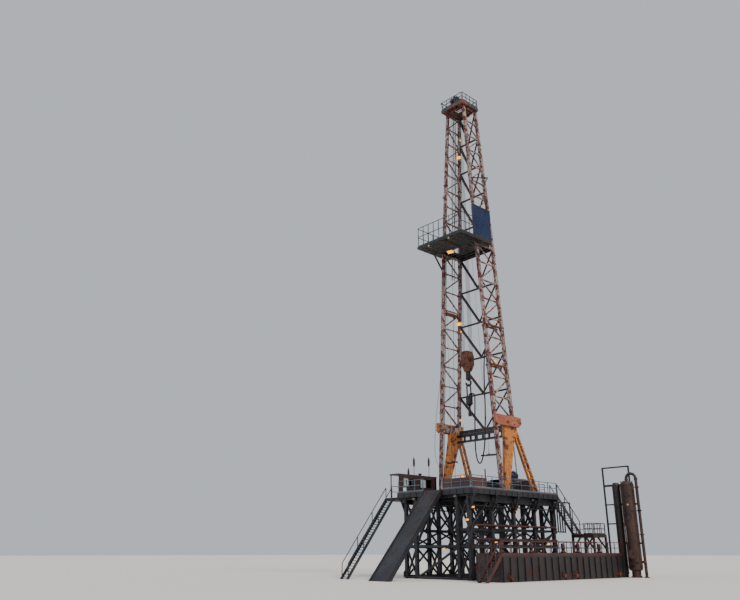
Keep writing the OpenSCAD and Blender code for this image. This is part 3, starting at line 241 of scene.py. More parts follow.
# each finish, the slot of the record that it belongs to, and what the eye sees of it
FINISHES = {
    # near-black navy enamel, brown where mud and rust have taken it
    "dark_steel": old_paint("navy_structural_enamel", "#141921", "#22272f", "#301b18", 0.42, edge=0.008),
    # oxide red plate, scuffed by boots and pipe
    "floor_paint": old_paint("scuffed_oxide_deck_paint", "#3a1e1a", "#4a2f29", "#26201e", 0.35, 0.6),
    # pale blue-grey tube, the brightest edge of the floor
    "rail_paint": old_paint("pale_blue_rail_enamel", "#405464", "#57656f", "#44291f", 0.3, 0.45, 180),
    "stair_steel": old_paint("blue_grey_stair_enamel", "#1f2832", "#343d46", "#3b231e", 0.35, 0.5, 180),
    "deck_paint": old_paint("brown_red_deck_steel", "#33201e", "#43302c", "#241f1e", 0.4, 0.6),
    # dark maroon sheet that has lost its shine
    "doghouse_paint": old_paint("maroon_sheet_enamel", "#241519", "#332326", "#43241c", 0.3, 0.55, 200),
    # off-white gone pinkish, with maroon rust along every arris and streaks below each joint
    "mast_paint": old_paint(
        "rust_stained_white_mast_paint", "#a3958e", "#6f686e", "#54241c", 0.66, 0.5, 210, edge=0.012),
    # ochre girder paint, orange where it is thick and brown where it has worn
    "a_frame_paint": old_paint(
        "ochre_girder_enamel", "#b9742a", "#a36330", "#5c2c1a", 0.5, 0.45, 320, edge=0.012),
    # blue-black beams with orange rust under the walkway
    "crown_paint": old_paint(
        "rusted_blue_black_crown_enamel", "#1d262e", "#2b343b", "#8a421f", 0.5, 0.55, 240),
    "sheave_iron": old_paint(
        "greased_cast_iron", "#2e2523", "#4a3a33", "#5d3524", 0.35, 0.4, 120, metallic=0.7),
    # nearly black, brown in patches: mud and pipe dope from below
    "board_steel": old_paint("soiled_black_board_enamel", "#131112", "#1f1b1a", "#38201a", 0.38, 0.6, 240),
    "wind_wall_paint": old_paint("deep_blue_sheet_enamel", "#0d1c40", "#15284f", "#16161e", 0.2, 0.4, 400),
    "drawworks_paint": old_paint(
        "dark_maroon_machine_enamel", "#2e1616", "#3d2220", "#1d1717", 0.3, 0.38, 220, edge=0.008),
    "pipe_paint": old_paint("navy_pipe_enamel", "#22304a", "#31405a", "#4a2a24", 0.3, 0.4, 160),
    "hose_rubber": wrapped_rubber("wrapped_black_hose_rubber", "#16181d", "#3b3a3b"),
    "wire_rope": stranded_rope("greased_wire_rope", "#2f3136", "#0f0f12"),
    "block_paint": old_paint(
        "burnt_orange_block_enamel", "#5c2b17", "#6e3c24", "#281a17", 0.42, 0.42, 160, edge=0.008),
    "hook_iron": old_paint(
        "oiled_forged_steel", "#252427", "#35312f", "#4c2f24", 0.3, 0.35, 90, metallic=0.6),
    # cast aluminium that has gone chalky
    "lamp_case": old_paint(
        "chalky_cast_aluminium", "#8e8a80", "#a29c8d", "#5b4436", 0.25, 0.45, 60, metallic=0.4),
    "tank_shell_paint": old_paint("blue_black_tank_enamel", "#16151b", "#231e21", "#341b18", 0.42, 0.5, 420),
    "tank_paint": old_paint("dark_oxide_walkway_paint", "#3a1815", "#492722", "#211918", 0.32, 0.55, 180),
    # reddish brown primer over a curved shell, darker towards the foot of each streak
    "vessel_paint": old_paint("brown_red_vessel_primer", "#301912", "#41261d", "#1b1412", 0.42, 0.5, 260),
    "rusty_plate": old_paint("heavily_rusted_plate", "#5a2e1b", "#744024", "#2e1c15", 0.5, 0.8, 140),
}
SLOT = {name: name for name in FINISHES}
# finishes of single pieces, each on the slot of what carries it
for finish, slot, material in (
        ("lamp_glow", "lamp_case", lit_glass("lit_prism_glass", "#ffa52e", 2.6)),
        ("window_glass", "doghouse_paint", grimy_glass("dusty_window_glass", "#8d99a3")),
        # the brace behind the mast is painted darker than its legs: a dark copy of the mast paint that stands
        # for the shade over the back of the mast, with patches of real rust on it
        ("shaded_brace_paint", "mast_paint", old_paint(
            "painted_shade_rusted_brace_steel", "#2a2228", "#40353a", "#3d1d18", 0.5, 0.6, 180, edge=0.01)),
        # royal blue enamel on the drive motor, gone dull where oil has run down it
        ("motor_paint", "drawworks_paint", old_paint(
            "royal_blue_motor_enamel", "#141f42", "#202c50", "#191a22", 0.25, 0.35, 120)),
        ("head_paint", "a_frame_paint", old_paint(
            "sunburnt_red_brown_enamel", "#8f5035", "#a0674a", "#4f261c", 0.45, 0.5, 260, edge=0.012)),
        ("teal_steel", "dark_steel", old_paint(
            "teal_black_frame_enamel", "#142428", "#233236", "#2e1d1a", 0.35, 0.5, 160)),
        ("black_vessel", "vessel_paint", old_paint(
            "soot_brown_vessel_primer", "#1b1312", "#291f1b", "#141010", 0.35, 0.5, 260)),
        ("yellow_tong", "hook_iron", old_paint(
            "yellow_tong_enamel", "#806426", "#6b562c", "#2f241c", 0.5, 0.4, 60)),
        ("pale_cable", "pipe_paint", wrapped_rubber("pale_blue_cable_sheath", "#4c6a86", "#5b6c78"))):
    FINISHES[finish] = material
    SLOT[finish] = slot

# the back braces take the dark brace paint, which is painted shade over the back of the mast
OWN_FINISH = {"mast_back_lower": "shaded_brace_paint", "mast_back_upper": "shaded_brace_paint",
              "board_rails": "teal_steel", "crown_rails": "teal_steel", "a_frame_near_head": "head_paint",
              "separator_frame": "teal_steel", "trip_vessel": "black_vessel"}
for row in frame["record"]["subparts"]:
    node = NODES[row["node"]]
    node.data.materials.clear()
    node.data.materials.append(FINISHES[OWN_FINISH.get(row["node"], row["material_slot"])])


def keep(piece, finish, body="rig"):
    """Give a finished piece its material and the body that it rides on."""
    piece.data.materials.clear()
    piece.data.materials.append(FINISHES[finish])
    if body:
        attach(piece, body)
    return piece


def smooth(points, steps):
    """Points of a smooth curve through the ones given."""
    out = []
    last = len(points) - 1
    for i in range(last):
        a, b, c, d = (Vector(points[min(max(i + k, 0), last)]) for k in (-1, 0, 1, 2))
        for j in range(steps):
            t = j / steps
            out.append(0.5 * (2 * b + (c - a) * t + (2 * a - 5 * b + 4 * c - d) * t ** 2
                              + (3 * b - a - 3 * c + d) * t ** 3))
    return out + [Vector(points[-1])]


def around(centre, radius, count, u, v):
    """Points evenly round a circle in the plane of u and v."""
    turns = (2 * math.pi * k / count for k in range(count))
    return [Vector(centre) + radius * (u * math.cos(a) + v * math.sin(a)) for a in turns]


def corners(middle, u, v):
    """The four corners of a rectangle, u and v from its middle."""
    return [middle + u + v, middle + u - v, middle - u - v, middle - u + v]


class Stock:
    """Closed solids cut from bar, plate and tube, gathered into one mesh."""

    def __init__(self):
        self.verts = []
        self.faces = []

    def rings(self, rings):
        """Join rings of equal count into a closed skin with flat ends."""
        base, n = len(self.verts), len(rings[0])
        for ring in rings:
            self.verts += ring
        for i in range(len(rings) - 1):
            for k in range(n):
                a, b = base + i * n + k, base + i * n + (k + 1) % n
                self.faces.append((a, b, b + n, a + n))
        for end in (base, base + (len(rings) - 1) * n):
            self.faces.append(tuple(end + k for k in range(n)))
        return self

    def block(self, a, b):
        """A box between two corners."""
        (x0, y0, z0), (x1, y1, z1) = a, b
        return self.rings([[Vector((x, y, z)) for x, y in ((x0, y0), (x1, y0), (x1, y1), (x0, y1))]
                           for z in (z0, z1)])

    def bar(self, p, q, wide, deep, side=(0, 0, 1)):
        """A flat bar from p to q, wide along side and deep across it."""
        p, q = Vector(p), Vector(q)
        way = (q - p).normalized()
        u = Vector(side) - way * way.dot(Vector(side))
        u = u.normalized() * wide / 2
        v = way.cross(u).normalized() * deep / 2
        return self.rings([corners(end, u, v) for end in (p, q)])

    def plate(self, outline, thick):
        """A plate: its outline in space, moved by the vector thick."""
        face = [Vector(p) for p in outline]
        return self.rings([face, [p + Vector(thick) for p in face]])

    def tube(self, path, radius, sides=10, up=(0, 1, 0)):
        """A round bar swept along a path."""
        rings, last = [], len(path) - 1
        for i, p in enumerate(path):
            way = (Vector(path[min(i + 1, last)]) - Vector(path[max(i - 1, 0)])).normalized()
            u = Vector(up).cross(way)
            u = u.normalized() if u.length > 1e-3 else way.orthogonal().normalized()
            rings.append(around(p, radius, sides, u, way.cross(u)))
        return self.rings(rings)

    def turned(self, foot, way, profile, sides=24):
        """A turned piece: (radius, distance) pairs along an axis."""
        way = Vector(way).normalized()
        u = way.orthogonal().normalized()
        return self.rings([around(Vector(foot) + way * far, max(radius, 0.001), sides, u, way.cross(u))
                           for radius, far in profile])

    def disc(self, foot, way, radius, thick, sides=24):
        """A round plate that starts at foot."""
        return self.turned(foot, way, [(0, 0), (radius, 0), (radius, thick), (0, thick)], sides)

    def spool(self, foot, way, rim, hub, cheek, slope, run, sides):
        """Two cheeks on a hub: a sheave, a drum or a pair of bolted flanges."""
        half = [(0, 0), (rim, 0), (rim, cheek), (hub, cheek + slope)]
        return self.turned(foot, way, half + [(r, run - far) for r, far in reversed(half)], sides)

    def piece(self, name, finish, body="rig", chamfer=0.0):
        """Finish the stock as one piece, with its arrises broken by the chamfer."""
        skin = bmesh.new()
        points = [skin.verts.new(v) for v in self.verts]
        for face in self.faces:
            skin.faces.new([points[i] for i in face])
        bmesh.ops.recalc_face_normals(skin, faces=skin.faces)
        if chamfer:
            sharp = [e for e in skin.edges if e.is_manifold and e.calc_face_angle() > 0.6]
            bmesh.ops.bevel(skin, geom=sharp, offset=chamfer, segments=1, affect="EDGES", clamp_overlap=True)
        mesh = bpy.data.meshes.new(name)
        skin.to_mesh(mesh)
        skin.free()
        mesh.polygons.foreach_set("use_smooth", [True] * len(mesh.polygons))
        mesh.set_sharp_from_angle(angle=math.radians(35))
        return keep(show(name, mesh), finish, body)


# the hose, along the route of its CAD solid
HANG_X = 1.3112
HOSE = [(0.19, -0.45, 8.64), (0.2, -0.45, 8.64), (0.21, -0.45, 8.64), (0.267, -0.45, 8.629),
        (0.316, -0.45, 8.596), (0.349, -0.45, 8.547), (0.36, -0.45, 8.49), (0.352, -0.45, 8.2),
        (0.322, -0.45, 7.7), (0.286, -0.45, 7.1), (0.262, -0.45, 6.6), (0.25, -0.45, 6.1),
        (0.262, -0.45, 5.75), (0.31, -0.45, 5.45), (0.385, -0.45, 5.26), (0.485, -0.45, 5.19),
        (0.59, -0.45, 5.27), (0.69, -0.45, 5.5), (0.775, -0.449, 5.8), (0.84, -0.447, 6.15),
        (0.895, -0.444, 6.75), (0.945, -0.44, 7.4), (0.975, -0.436, 8.1), (0.985, -0.432, 8.8),
        (1.0, -0.428, 9.5), (1.04, -0.424, 10.1), (1.11, -0.42, 10.6), (HANG_X - 0.106, -0.417, 10.98),
        (HANG_X - 0.033, -0.415, 11.2), (HANG_X + 0.002, -0.415, 11.33), (HANG_X + 0.01, -0.415, 11.42),
        (HANG_X + 0.006, -0.415, 11.51), (HANG_X, -0.415, 11.6)]
HOSE_D = 0.064
hose_route = smooth(HOSE, 6)
hose = Stock().tube(hose_route, HOSE_D / 2, 16).piece("kelly_hose_wrapped", "hose_rubber", body=None)
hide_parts("kelly_hose")
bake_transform(hose)

# a lamp cable that bows out beside the far front leg, between two clamps on it
CABLE = [(-1.585, -0.775, 9.72), (-1.595, -0.79, 9.62), (-1.61, -0.8, 9.5), (-1.65, -0.815, 9.25),
         (-1.72, -0.825, 8.85), (-1.81, -0.83, 8.35), (-1.9, -0.83, 7.85), (-1.98, -0.825, 7.35),
         (-2.04, -0.82, 6.9), (-2.085, -0.815, 6.45), (-2.105, -0.81, 6.1), (-2.1, -0.805, 5.8),
         (-2.06, -0.8, 5.55), (-1.985, -0.79, 5.36), (-1.915, -0.78, 5.24), (-1.88, -0.775, 5.1),
         (-1.872, -0.772, 4.95)]
CABLE_D = 0.024
cable_route = smooth(CABLE, 5)
cable = Stock().tube(cable_route, CABLE_D / 2, 10).piece("lamp_cable_bow", "pale_cable")


def on_side(side, y, h, out):
    """A point on the leaning side of the mast: y across, h above the floor, out from its middle plane."""
    lean = math.atan(LEAN)
    return Vector((side * (FOOT_X - h * LEAN + out * math.cos(lean)), y, FLOOR + h + out * math.sin(lean)))


def leg_y(h):
    """Half of the mast's depth at a height above the floor."""
    return DEPTH_HALF if h <= BOARD_H else DEPTH_HALF - NARROWING * (h - BOARD_H) / (MAST_H - BOARD_H)


def side_block(stock, side, ys, hs, outs):
    """A box that lies in the leaning side of the mast."""
    return stock.rings([[on_side(side, y, h, o) for y, o in ((ys[0], outs[0]), (ys[1], outs[0]),
                                                            (ys[1], outs[1]), (ys[0], outs[1]))] for h in hs])


def start_tree(name, *sizes):
    """A Geometry Nodes tree with a guide, named sizes and a finish for inputs."""
    tree = bpy.data.node_groups.new(name, "GeometryNodeTree")
    for socket, kind in (("Guide", "Geometry"), *((size, "Float") for size in sizes), ("Finish", "Material")):
        tree.interface.new_socket(socket, in_out="INPUT", socket_type="NodeSocket" + kind)
    tree.interface.new_socket("Piece", in_out="OUTPUT", socket_type="NodeSocketGeometry")
    return tree, add(tree, "NodeGroupInput").outputs


def stations(tree, guide, spacing):
    """The guide as a curve with a point at every spacing."""
    line = add(tree, "GeometryNodeMeshToCurve", {"Mesh": guide})
    return add(tree, "GeometryNodeResampleCurve", {"Curve": line, "Length": spacing}, mode="LENGTH")


def facing(tree, axis):
    """The turn that lays an axis along the way that each point carries."""
    way = add(tree, "GeometryNodeInputNamedAttribute", {"Name": "way"}, data_type="FLOAT_VECTOR")
    return add(tree, "FunctionNodeAlignRotationToVector", {"Vector": way}, axis=axis)


def end_tree(tree, given, shape):
    """Turn the instances into faces, give them the finish and end the tree."""
    real = add(tree, "GeometryNodeRealizeInstances", {"Geometry": shape})
    done = add(tree, "GeometryNodeSetMaterial", {"Geometry": real, "Material": given["Finish"]})
    add(tree, "NodeGroupOutput", {"Piece": done})
    return tree


def set_out(tree, given, points, shape, turn):
    """Set a shape on each point, turned its way, and end the tree."""
    row = add(tree, "GeometryNodeInstanceOnPoints", {"Points": points, "Instance": shape, "Rotation": turn})
    return end_tree(tree, given, row)


def bolt_tree():
    """Hexagon heads on a row of points, each facing the way that its point carries."""
    tree, given = start_tree("bolt_heads", "Width", "Height")
    half = add(tree, "ShaderNodeMath", {0: given["Width"], 1: 0.5}, operation="MULTIPLY")
    both = add(tree, "ShaderNodeMath", {0: given["Height"], 1: 2.0}, operation="MULTIPLY")
    head = add(tree, "GeometryNodeMeshCylinder", {"Vertices": 6, "Radius": half, "Depth": both},
               fill_type="NGON")
    return set_out(tree, given, given["Guide"], head, facing(tree, "Z"))


def bar_tree():
    """Flat bars set across a line at a pitch: grating bars, ribs, louvres, treads and cleats."""
    tree, given = start_tree("bars_across", "Pitch", "Length", "Breadth", "Depth")
    size = add(tree, "ShaderNodeCombineXYZ", {"X": given["Length"], "Y": given["Breadth"],
                                              "Z": given["Depth"]})
    bar = add(tree, "GeometryNodeMeshCube", {"Size": size})
    ahead = add(tree, "GeometryNodeInputTangent")
    turn = add(tree, "FunctionNodeAlignRotationToVector", {"Rotation": facing(tree, "X"), "Vector": ahead},
               axis="Y", pivot_axis="X")
    return set_out(tree, given, stations(tree, given["Guide"], given["Pitch"]), bar, turn)


def rung_tree():
    """Round rungs set across a line at a pitch."""
    tree, given = start_tree("rungs_across", "Pitch", "Length", "Diameter")
    half = add(tree, "ShaderNodeMath", {0: given["Diameter"], 1: 0.5}, operation="MULTIPLY")
    rung = add(tree, "GeometryNodeMeshCylinder", {"Vertices": 8, "Radius": half, "Depth": given["Length"]},
               fill_type="NGON")
    return set_out(tree, given, stations(tree, given["Guide"], given["Pitch"]), rung, facing(tree, "Z"))


def rope_tree():
    """A laid rope: a star-shaped section that turns once in each lay, its six lobes the strands."""
    tree, given = start_tree("laid_rope", "Diameter", "Lay")
    step = add(tree, "ShaderNodeMath", {0: given["Lay"], 1: 0.1}, operation="MULTIPLY")
    run = add(tree, "GeometryNodeSplineParameter").outputs["Length"]
    turns = add(tree, "ShaderNodeMath", {0: run, 1: given["Lay"]}, operation="DIVIDE")
    angle = add(tree, "ShaderNodeMath", {0: turns, 1: 2 * math.pi}, operation="MULTIPLY")
    line = stations(tree, given["Guide"], step)
    wound = add(tree, "GeometryNodeSetCurveTilt", {"Curve": line, "Tilt": angle})
    outer = add(tree, "ShaderNodeMath", {0: given["Diameter"], 1: 0.5}, operation="MULTIPLY")
    inner = add(tree, "ShaderNodeMath", {0: given["Diameter"], 1: 0.36}, operation="MULTIPLY")
    section = add(tree, "GeometryNodeCurveStar", {"Points": 6, "Outer Radius": outer, "Inner Radius": inner})
    skin = add(tree, "GeometryNodeCurveToMesh", {"Curve": wound, "Profile Curve": section, "Fill Caps": True})
    return end_tree(tree, given, skin)


BOLTS, BARS, RUNGS, ROPE_LAY = bolt_tree(), bar_tree(), rung_tree(), rope_tree()


def follow(name, finish, tree, guide, body="rig", **sizes):
    """Run a tree along a guide, (points, way) pairs, and keep what it makes as a plain mesh."""
    points, edges, ways = [], [], []
    for chain, way in guide:
        edges += [(len(points) + i, len(points) + i + 1) for i in range(len(chain) - 1)]
        points += [tuple(p) for p in chain]
        ways += list(way) * len(chain)
    mesh = bpy.data.meshes.new(name + "_guide")
    mesh.from_pydata(points, edges, [])
    mesh.attributes.new("way", "FLOAT_VECTOR", "POINT").data.foreach_set("vector", ways)
    piece = show(name, mesh)
    change = piece.modifiers.new("follow", "NODES")
    change.node_group = tree
    for socket in tree.interface.items_tree:
        if socket.in_out == "INPUT" and socket.name in sizes:
            change[socket.identifier] = sizes[socket.name]
        elif socket.in_out == "INPUT" and socket.name == "Finish":
            change[socket.identifier] = FINISHES[finish]
    SCENE.view_layers[0].update()
    made = bpy.data.meshes.new_from_object(piece.evaluated_get(bpy.context.evaluated_depsgraph_get()))
    piece.modifiers.clear()
    piece.data = made
    made.name = name
    return keep(piece, finish, body)


def heads(spots, way):
    """The guide of a group of bolt heads that face one way."""
    return [([spot], way) for spot in spots]


def bolt_heads(name, guide, width, height, body="rig"):
    """One piece of all the bolt heads of a guide."""
    follow(name, "hook_iron", BOLTS, guide, body, Width=width, Height=height)


# heights of the mast's lacing nodes: nine bays below the racking board and nine above
BAYS = 9
NODE_H = [low + i * (high - low) / BAYS
          for low, high in ((BASE_H, BOARD_H), (BOARD_H, MAST_H)) for i in range(BAYS)]

# gusset plates where the lacing meets the legs, on both faces of each side
GUSSET_WIDE, GUSSET_THICK, GUSSET_GAP = 0.13, 0.008, 0.005
GUSSET_BOLTS = ((0.03, -0.04), (0.03, 0.06), (0.09, -0.01), (0.09, 0.03))
gussets, bolts = Stock(), []
for side in (-1, 1):
    for h in NODE_H:
        high, low = (0.13, 0.1) if h > BASE_H else (0.2, 0.02)
        for end in (-1, 1):
            near = end * (leg_y(h) - LEG / 2)
            far = near - end * GUSSET_WIDE
            for face in (-1, 1):
                o = face * (LACE / 2 + GUSSET_GAP)
                outline = [on_side(side, y, h + rise, o) for y, rise in
                           ((near, -low), (far, -0.04), (far, 0.05), (near, high))]
                thick = on_side(side, near, h, o + face * GUSSET_THICK) - on_side(side, near, h, o)
                gussets.plate(outline, thick)
                bolts += heads([on_side(side, near - end * dy, h + dh, o + face * GUSSET_THICK)
                                for dy, dh in GUSSET_BOLTS], thick.normalized())
gussets.piece("mast_gussets", "mast_paint")
bolt_heads("mast_gusset_bolts", bolts, 0.022, 0.009)

# flanged joints in the legs, where the mast is pinned together for the road
JOINT_HALF, JOINT_GAP, JOINT_REACH, JOINT_PIN = 0.098, 0.004, 0.026, 0.086
joints, pins = Stock(), []
for side in (-1, 1):
    for end in (-1, 1):
        for h in (4.1, 8.2, 12.35, 16.9):
            y = end * leg_y(h)
            for hs in ((h - JOINT_REACH, h - JOINT_GAP), (h + JOINT_GAP, h + JOINT_REACH)):
                side_block(joints, side, (y - JOINT_HALF, y + JOINT_HALF), hs, (-JOINT_HALF, JOINT_HALF))
            for a in (-JOINT_PIN, JOINT_PIN):
                for b in (-JOINT_PIN, 0, JOINT_PIN):
                    pins += heads([on_side(side, y + a, h + JOINT_REACH, b)], Z)
                    pins += heads([on_side(side, y + a, h - JOINT_REACH, b)], -Z)
joints.piece("mast_leg_joints", "mast_paint", chamfer=0.003)
bolt_heads("mast_joint_bolts", pins, 0.02, 0.014)

# ladders up the outer face of the far side, below and above the racking board
LADDER_OUT, LADDER_HALF = 0.175, 0.11
TIE_THICK, TIE_HIGH = 0.012, 0.015
ladder, rungs, ties = Stock(), [], Stock()
for y, h0, h1 in ((-0.38, 0.05, BOARD_H - 0.02), (0.3, BOARD_H - 1.2, MAST_H - 0.05)):
    for at in (y - LADDER_HALF, y + LADDER_HALF):
        ladder.bar(on_side(-1, at, h0, LADDER_OUT), on_side(-1, at, h1, LADDER_OUT), 0.03, 0.014, side=X)
        for h in NODE_H:
            if h0 < h < h1:
                side_block(ties, -1, (at - TIE_THICK, at + TIE_THICK), (h - TIE_HIGH, h + TIE_HIGH),
                           (LACE / 2 - 0.005, LADDER_OUT))
    rungs.append(([on_side(-1, y, h0 + 0.1, LADDER_OUT), on_side(-1, y, h1 - 0.05, LADDER_OUT)], Y))
ladder.piece("mast_ladder_rails", "stair_steel")
ties.piece("mast_ladder_brackets", "stair_steel")
follow("mast_ladder_rungs", "stair_steel", RUNGS, rungs, Pitch=0.15, Length=2 * LADDER_HALF, Diameter=0.014)

# lamp cables in a bunch up the near rear leg, held by clips
LEG_FACE = LEG / 2
bunch, clips = Stock(), Stock()
for k in range(4):
    off = -LEG_FACE - 0.014 - 0.013 * (k % 2)
    bunch.tube([on_side(1, leg_y(h) - 0.03 + 0.025 * k, h, off) for h in
                (0.1, BOARD_H / 2, BOARD_H, MAST_H - 0.3)], 0.01, 6)
for h in [0.5 + 0.8 * i for i in range(26)]:
    side_block(clips, 1, (leg_y(h) - 0.05, leg_y(h) + 0.065), (h - 0.012, h + 0.012),
               (-LEG_FACE - 0.036, -LEG_FACE + 0.002))
bunch.piece("mast_lamp_cables", "hose_rubber")
clips.piece("mast_cable_clips", "lamp_case")

# floodlights: glass and guard for the CAD cases, and whole lamps for the ones that are too small for it
CASE_DEEP, CASE_WIDE, CASE_HIGH = 0.1, 0.075, 0.05
glass, cases, guards = Stock(), Stock(), Stock()


def lamp(at, way, whole=True, lit=True, size=1.0):
    """A floodlight on a yoke; at is where it is bolted and way where it shines."""
    at, way = Vector(at), Vector(way).normalized()
    wide = (Z.cross(way) if abs(way.z) < 0.9 else Y.copy()).normalized()
    high = way.cross(wide)
    face = at + way * CASE_DEEP
    if whole:
        wide, high = wide * size, high * size
        back = at + way * 0.02
        cases.rings([corners(back, wide * 0.07, high * 0.032),
                     corners(face, wide * CASE_WIDE, high * CASE_HIGH)])
        cases.bar(at - way * 0.01, back + way * 0.01, 0.05, 0.04, side=wide)
    rim = corners(face, wide * 0.068, high * 0.043)
    (glass if lit else cases).rings([[p - way * 0.004 for p in rim], [p + way * 0.004 for p in rim],
                                     [face + (p - face) * 0.7 + way * 0.016 for p in rim]])
    for k in (-1, 0, 1):
        wire = face + way * 0.022 + wide * 0.05 * k
        guards.bar(wire + high * CASE_HIGH, wire - high * CASE_HIGH, 0.006, 0.006, side=way)
    brow = face + high * CASE_HIGH
    guards.bar(brow + wide * CASE_WIDE, brow - wide * CASE_WIDE, 0.012, 0.05, side=high)


# lamps whose cases are CAD: three burn on each side of the mast, and those under the board and
# round the floor's edge are dark
LAMP_SET = LEG_FACE + GAP
for side, hs in ((1, (4.55, 6.3, 8.6)), (-1, (3.85, 8.6, MAST_H - 1.4))):
    for h in hs:
        lamp(on_side(side, leg_y(h) - LEG_FACE - 0.008, h, -LAMP_SET), -side * X, whole=False)
EDGE_LAMP_Z = 3.485
for s in (-1, 1):
    for at, way in (((s * 0.6975, BOARD_FRONT + 0.05, BOARD_Z - GAP), -Z),
                    ((s * COLUMN_IN, BOX_FRONT - GAP, EDGE_LAMP_Z), -Y),
                    ((BOX_X + GAP, s * 1.4, EDGE_LAMP_Z), X)):
        lamp(at, way, whole=False, lit=False)
# whole lamps: where each is bolted, the way it shines, its size and whether it is lit
POLE_X, POLE_Y = -1.775, 0.93
for at, way, size, lit in (
        ((-0.457, -0.9, BOARD_Z), (0.1, -0.5, -1), 2.4, True),
        (on_side(-1, -0.58, 16.2, 0.07), (-0.4, -1, -0.3), 1, False),
        (on_side(-1, 0.42, MAST_H - 2.5, -0.07), (0.6, -1, -0.4), 2, True),
        (on_side(-1, 0.55, 9.05, -0.07), (0.6, -1, -0.4), 2, True),
        (on_side(1, 0.1, 9.15, -0.07), (-0.7, -1, -0.4), 1.8, True),
        (on_side(1, 0.1, 6.42, -0.07), (-0.7, -1, -0.4), 1.8, True),
        ((0.51, -3.18, 1.31), (0.1, -1, -0.4), 1, True),
        ((BOX_X, -3.0, 3.03), (1, -0.3, -0.4), 1, True),
        ((BOX_X, -1.53, 1.6), (1, -0.3, -0.4), 1, True),
        ((BOX_X, 0.06, 2.94), (1, 0.3, -0.4), 1, True),
        ((FOOT_X, BOX_FRONT, 2.5), (0, -1, -0.4), 1, True),
        ((3.03, 0.9, 1.5), (1, -0.2, -0.2), 1, True),
        ((POLE_X, POLE_Y - 0.03, 4.87), (0.3, -1, -0.35), 1.6, True),
        ((-0.76, -0.8, CROWN_TOP + 0.53), (0, -0.3, -1), 1, False),
        ((0.2, -0.8, CROWN_TOP + 0.53), (0, -0.3, -1), 1, False)):
    lamp(at, way, lit=lit, size=size)
cases.tube([(POLE_X, POLE_Y, FLOOR), (POLE_X, POLE_Y, 4.89)], 0.02, 8)
glass.piece("floodlight_glass", "lamp_glow")
cases.piece("floodlight_cases", "lamp_case", chamfer=0.004)
guards.piece("floodlight_guards", "hook_iron")

# racking board: gratings, and the walkway that crosses inside the mast
BOARD_IN = FOOT_X - BOARD_H * LEAN + LEG / 2 / math.cos(math.atan(LEAN))
GRATE_Z = BOARD_Z + 0.11
GRATE_BARS = {"Pitch": 0.045, "Breadth": 0.006, "Depth": 0.024}
grate_mid = GRATE_Z + GRATE_BARS["Depth"] / 2
follow("board_grating", "board_steel", BARS,
       [([(x, BOARD_FRONT + 0.03, grate_mid), (x, 0.07, grate_mid)], X)
        for x in (-(BOARD_IN + BOARD_HALF) / 2, (BOARD_IN + BOARD_HALF) / 2)],
       Length=BOARD_HALF - BOARD_IN - 0.06, **GRATE_BARS)
follow("board_middle_grating", "board_steel", BARS,
       [([(0, BOARD_FRONT + 0.12, grate_mid), (0, -0.96, grate_mid)], X)], Length=0.32, **GRATE_BARS)
WALK_END, WALK_BACK, WALK_IN, SIDE_FRONT = BOARD_IN - LEG - 0.012, 0.6, 0.62, -0.94
BEAM_TOP, PLATE_TOP = BOARD_Z + 0.1, BOARD_Z + 0.112
walk = Stock()
for y in (0.02, 0.3, 0.58):
    walk.block((-WALK_END, y - 0.025, BOARD_Z), (WALK_END, y + 0.025, BEAM_TOP))
for x in (-WALK_END + 0.03, WALK_END - 0.03):
    walk.block((x - 0.03, 0, BOARD_Z), (x + 0.03, WALK_BACK, BEAM_TOP))
walk.block((-WALK_END, 0, BEAM_TOP), (WALK_END, WALK_BACK, PLATE_TOP))
for x in (-0.6, -0.2, 0.2, 0.6):
    walk.bar((x - 0.17, 0.05, BOARD_Z + 0.05), (x + 0.17, WALK_BACK - 0.05, BOARD_Z + 0.05), 0.06, 0.03)
for a, b in ((-WALK_END, -WALK_IN), (WALK_IN, WALK_END)):
    walk.block((a, SIDE_FRONT, BEAM_TOP), (b, 0, PLATE_TOP))
    walk.block((a, SIDE_FRONT, BOARD_Z), (a + 0.05, 0, BEAM_TOP))
    walk.block((b - 0.05, SIDE_FRONT, BOARD_Z), (b, 0, BEAM_TOP))
    for y in (SIDE_FRONT, SIDE_FRONT + 0.31, SIDE_FRONT + 0.62):
        walk.block((a + 0.05, y, BOARD_Z + 0.02), (b - 0.05, y + 0.05, BEAM_TOP))
walk.piece("board_inner_walkway", "board_steel", chamfer=0.003)

# the sheet wall behind the walkway, on five posts with a rail along its top
SHEET_Y, SHEET_TOP = 0.57, BOARD_Z + 0.85
wall = Stock()
wall.block((-WALK_END + 0.02, SHEET_Y, PLATE_TOP), (WALK_END - 0.02, SHEET_Y + 0.015, SHEET_TOP))
for x in (-0.95, -0.475, 0, 0.475, 0.95):
    wall.block((x - 0.02, SHEET_Y - 0.035, PLATE_TOP), (x + 0.02, SHEET_Y, SHEET_TOP + 0.02))
wall.block((-WALK_END + 0.02, SHEET_Y - 0.04, SHEET_TOP), (WALK_END - 0.02, SHEET_Y + 0.02, SHEET_TOP + 0.03))
wall.piece("board_back_wall", "deck_paint", chamfer=0.003)

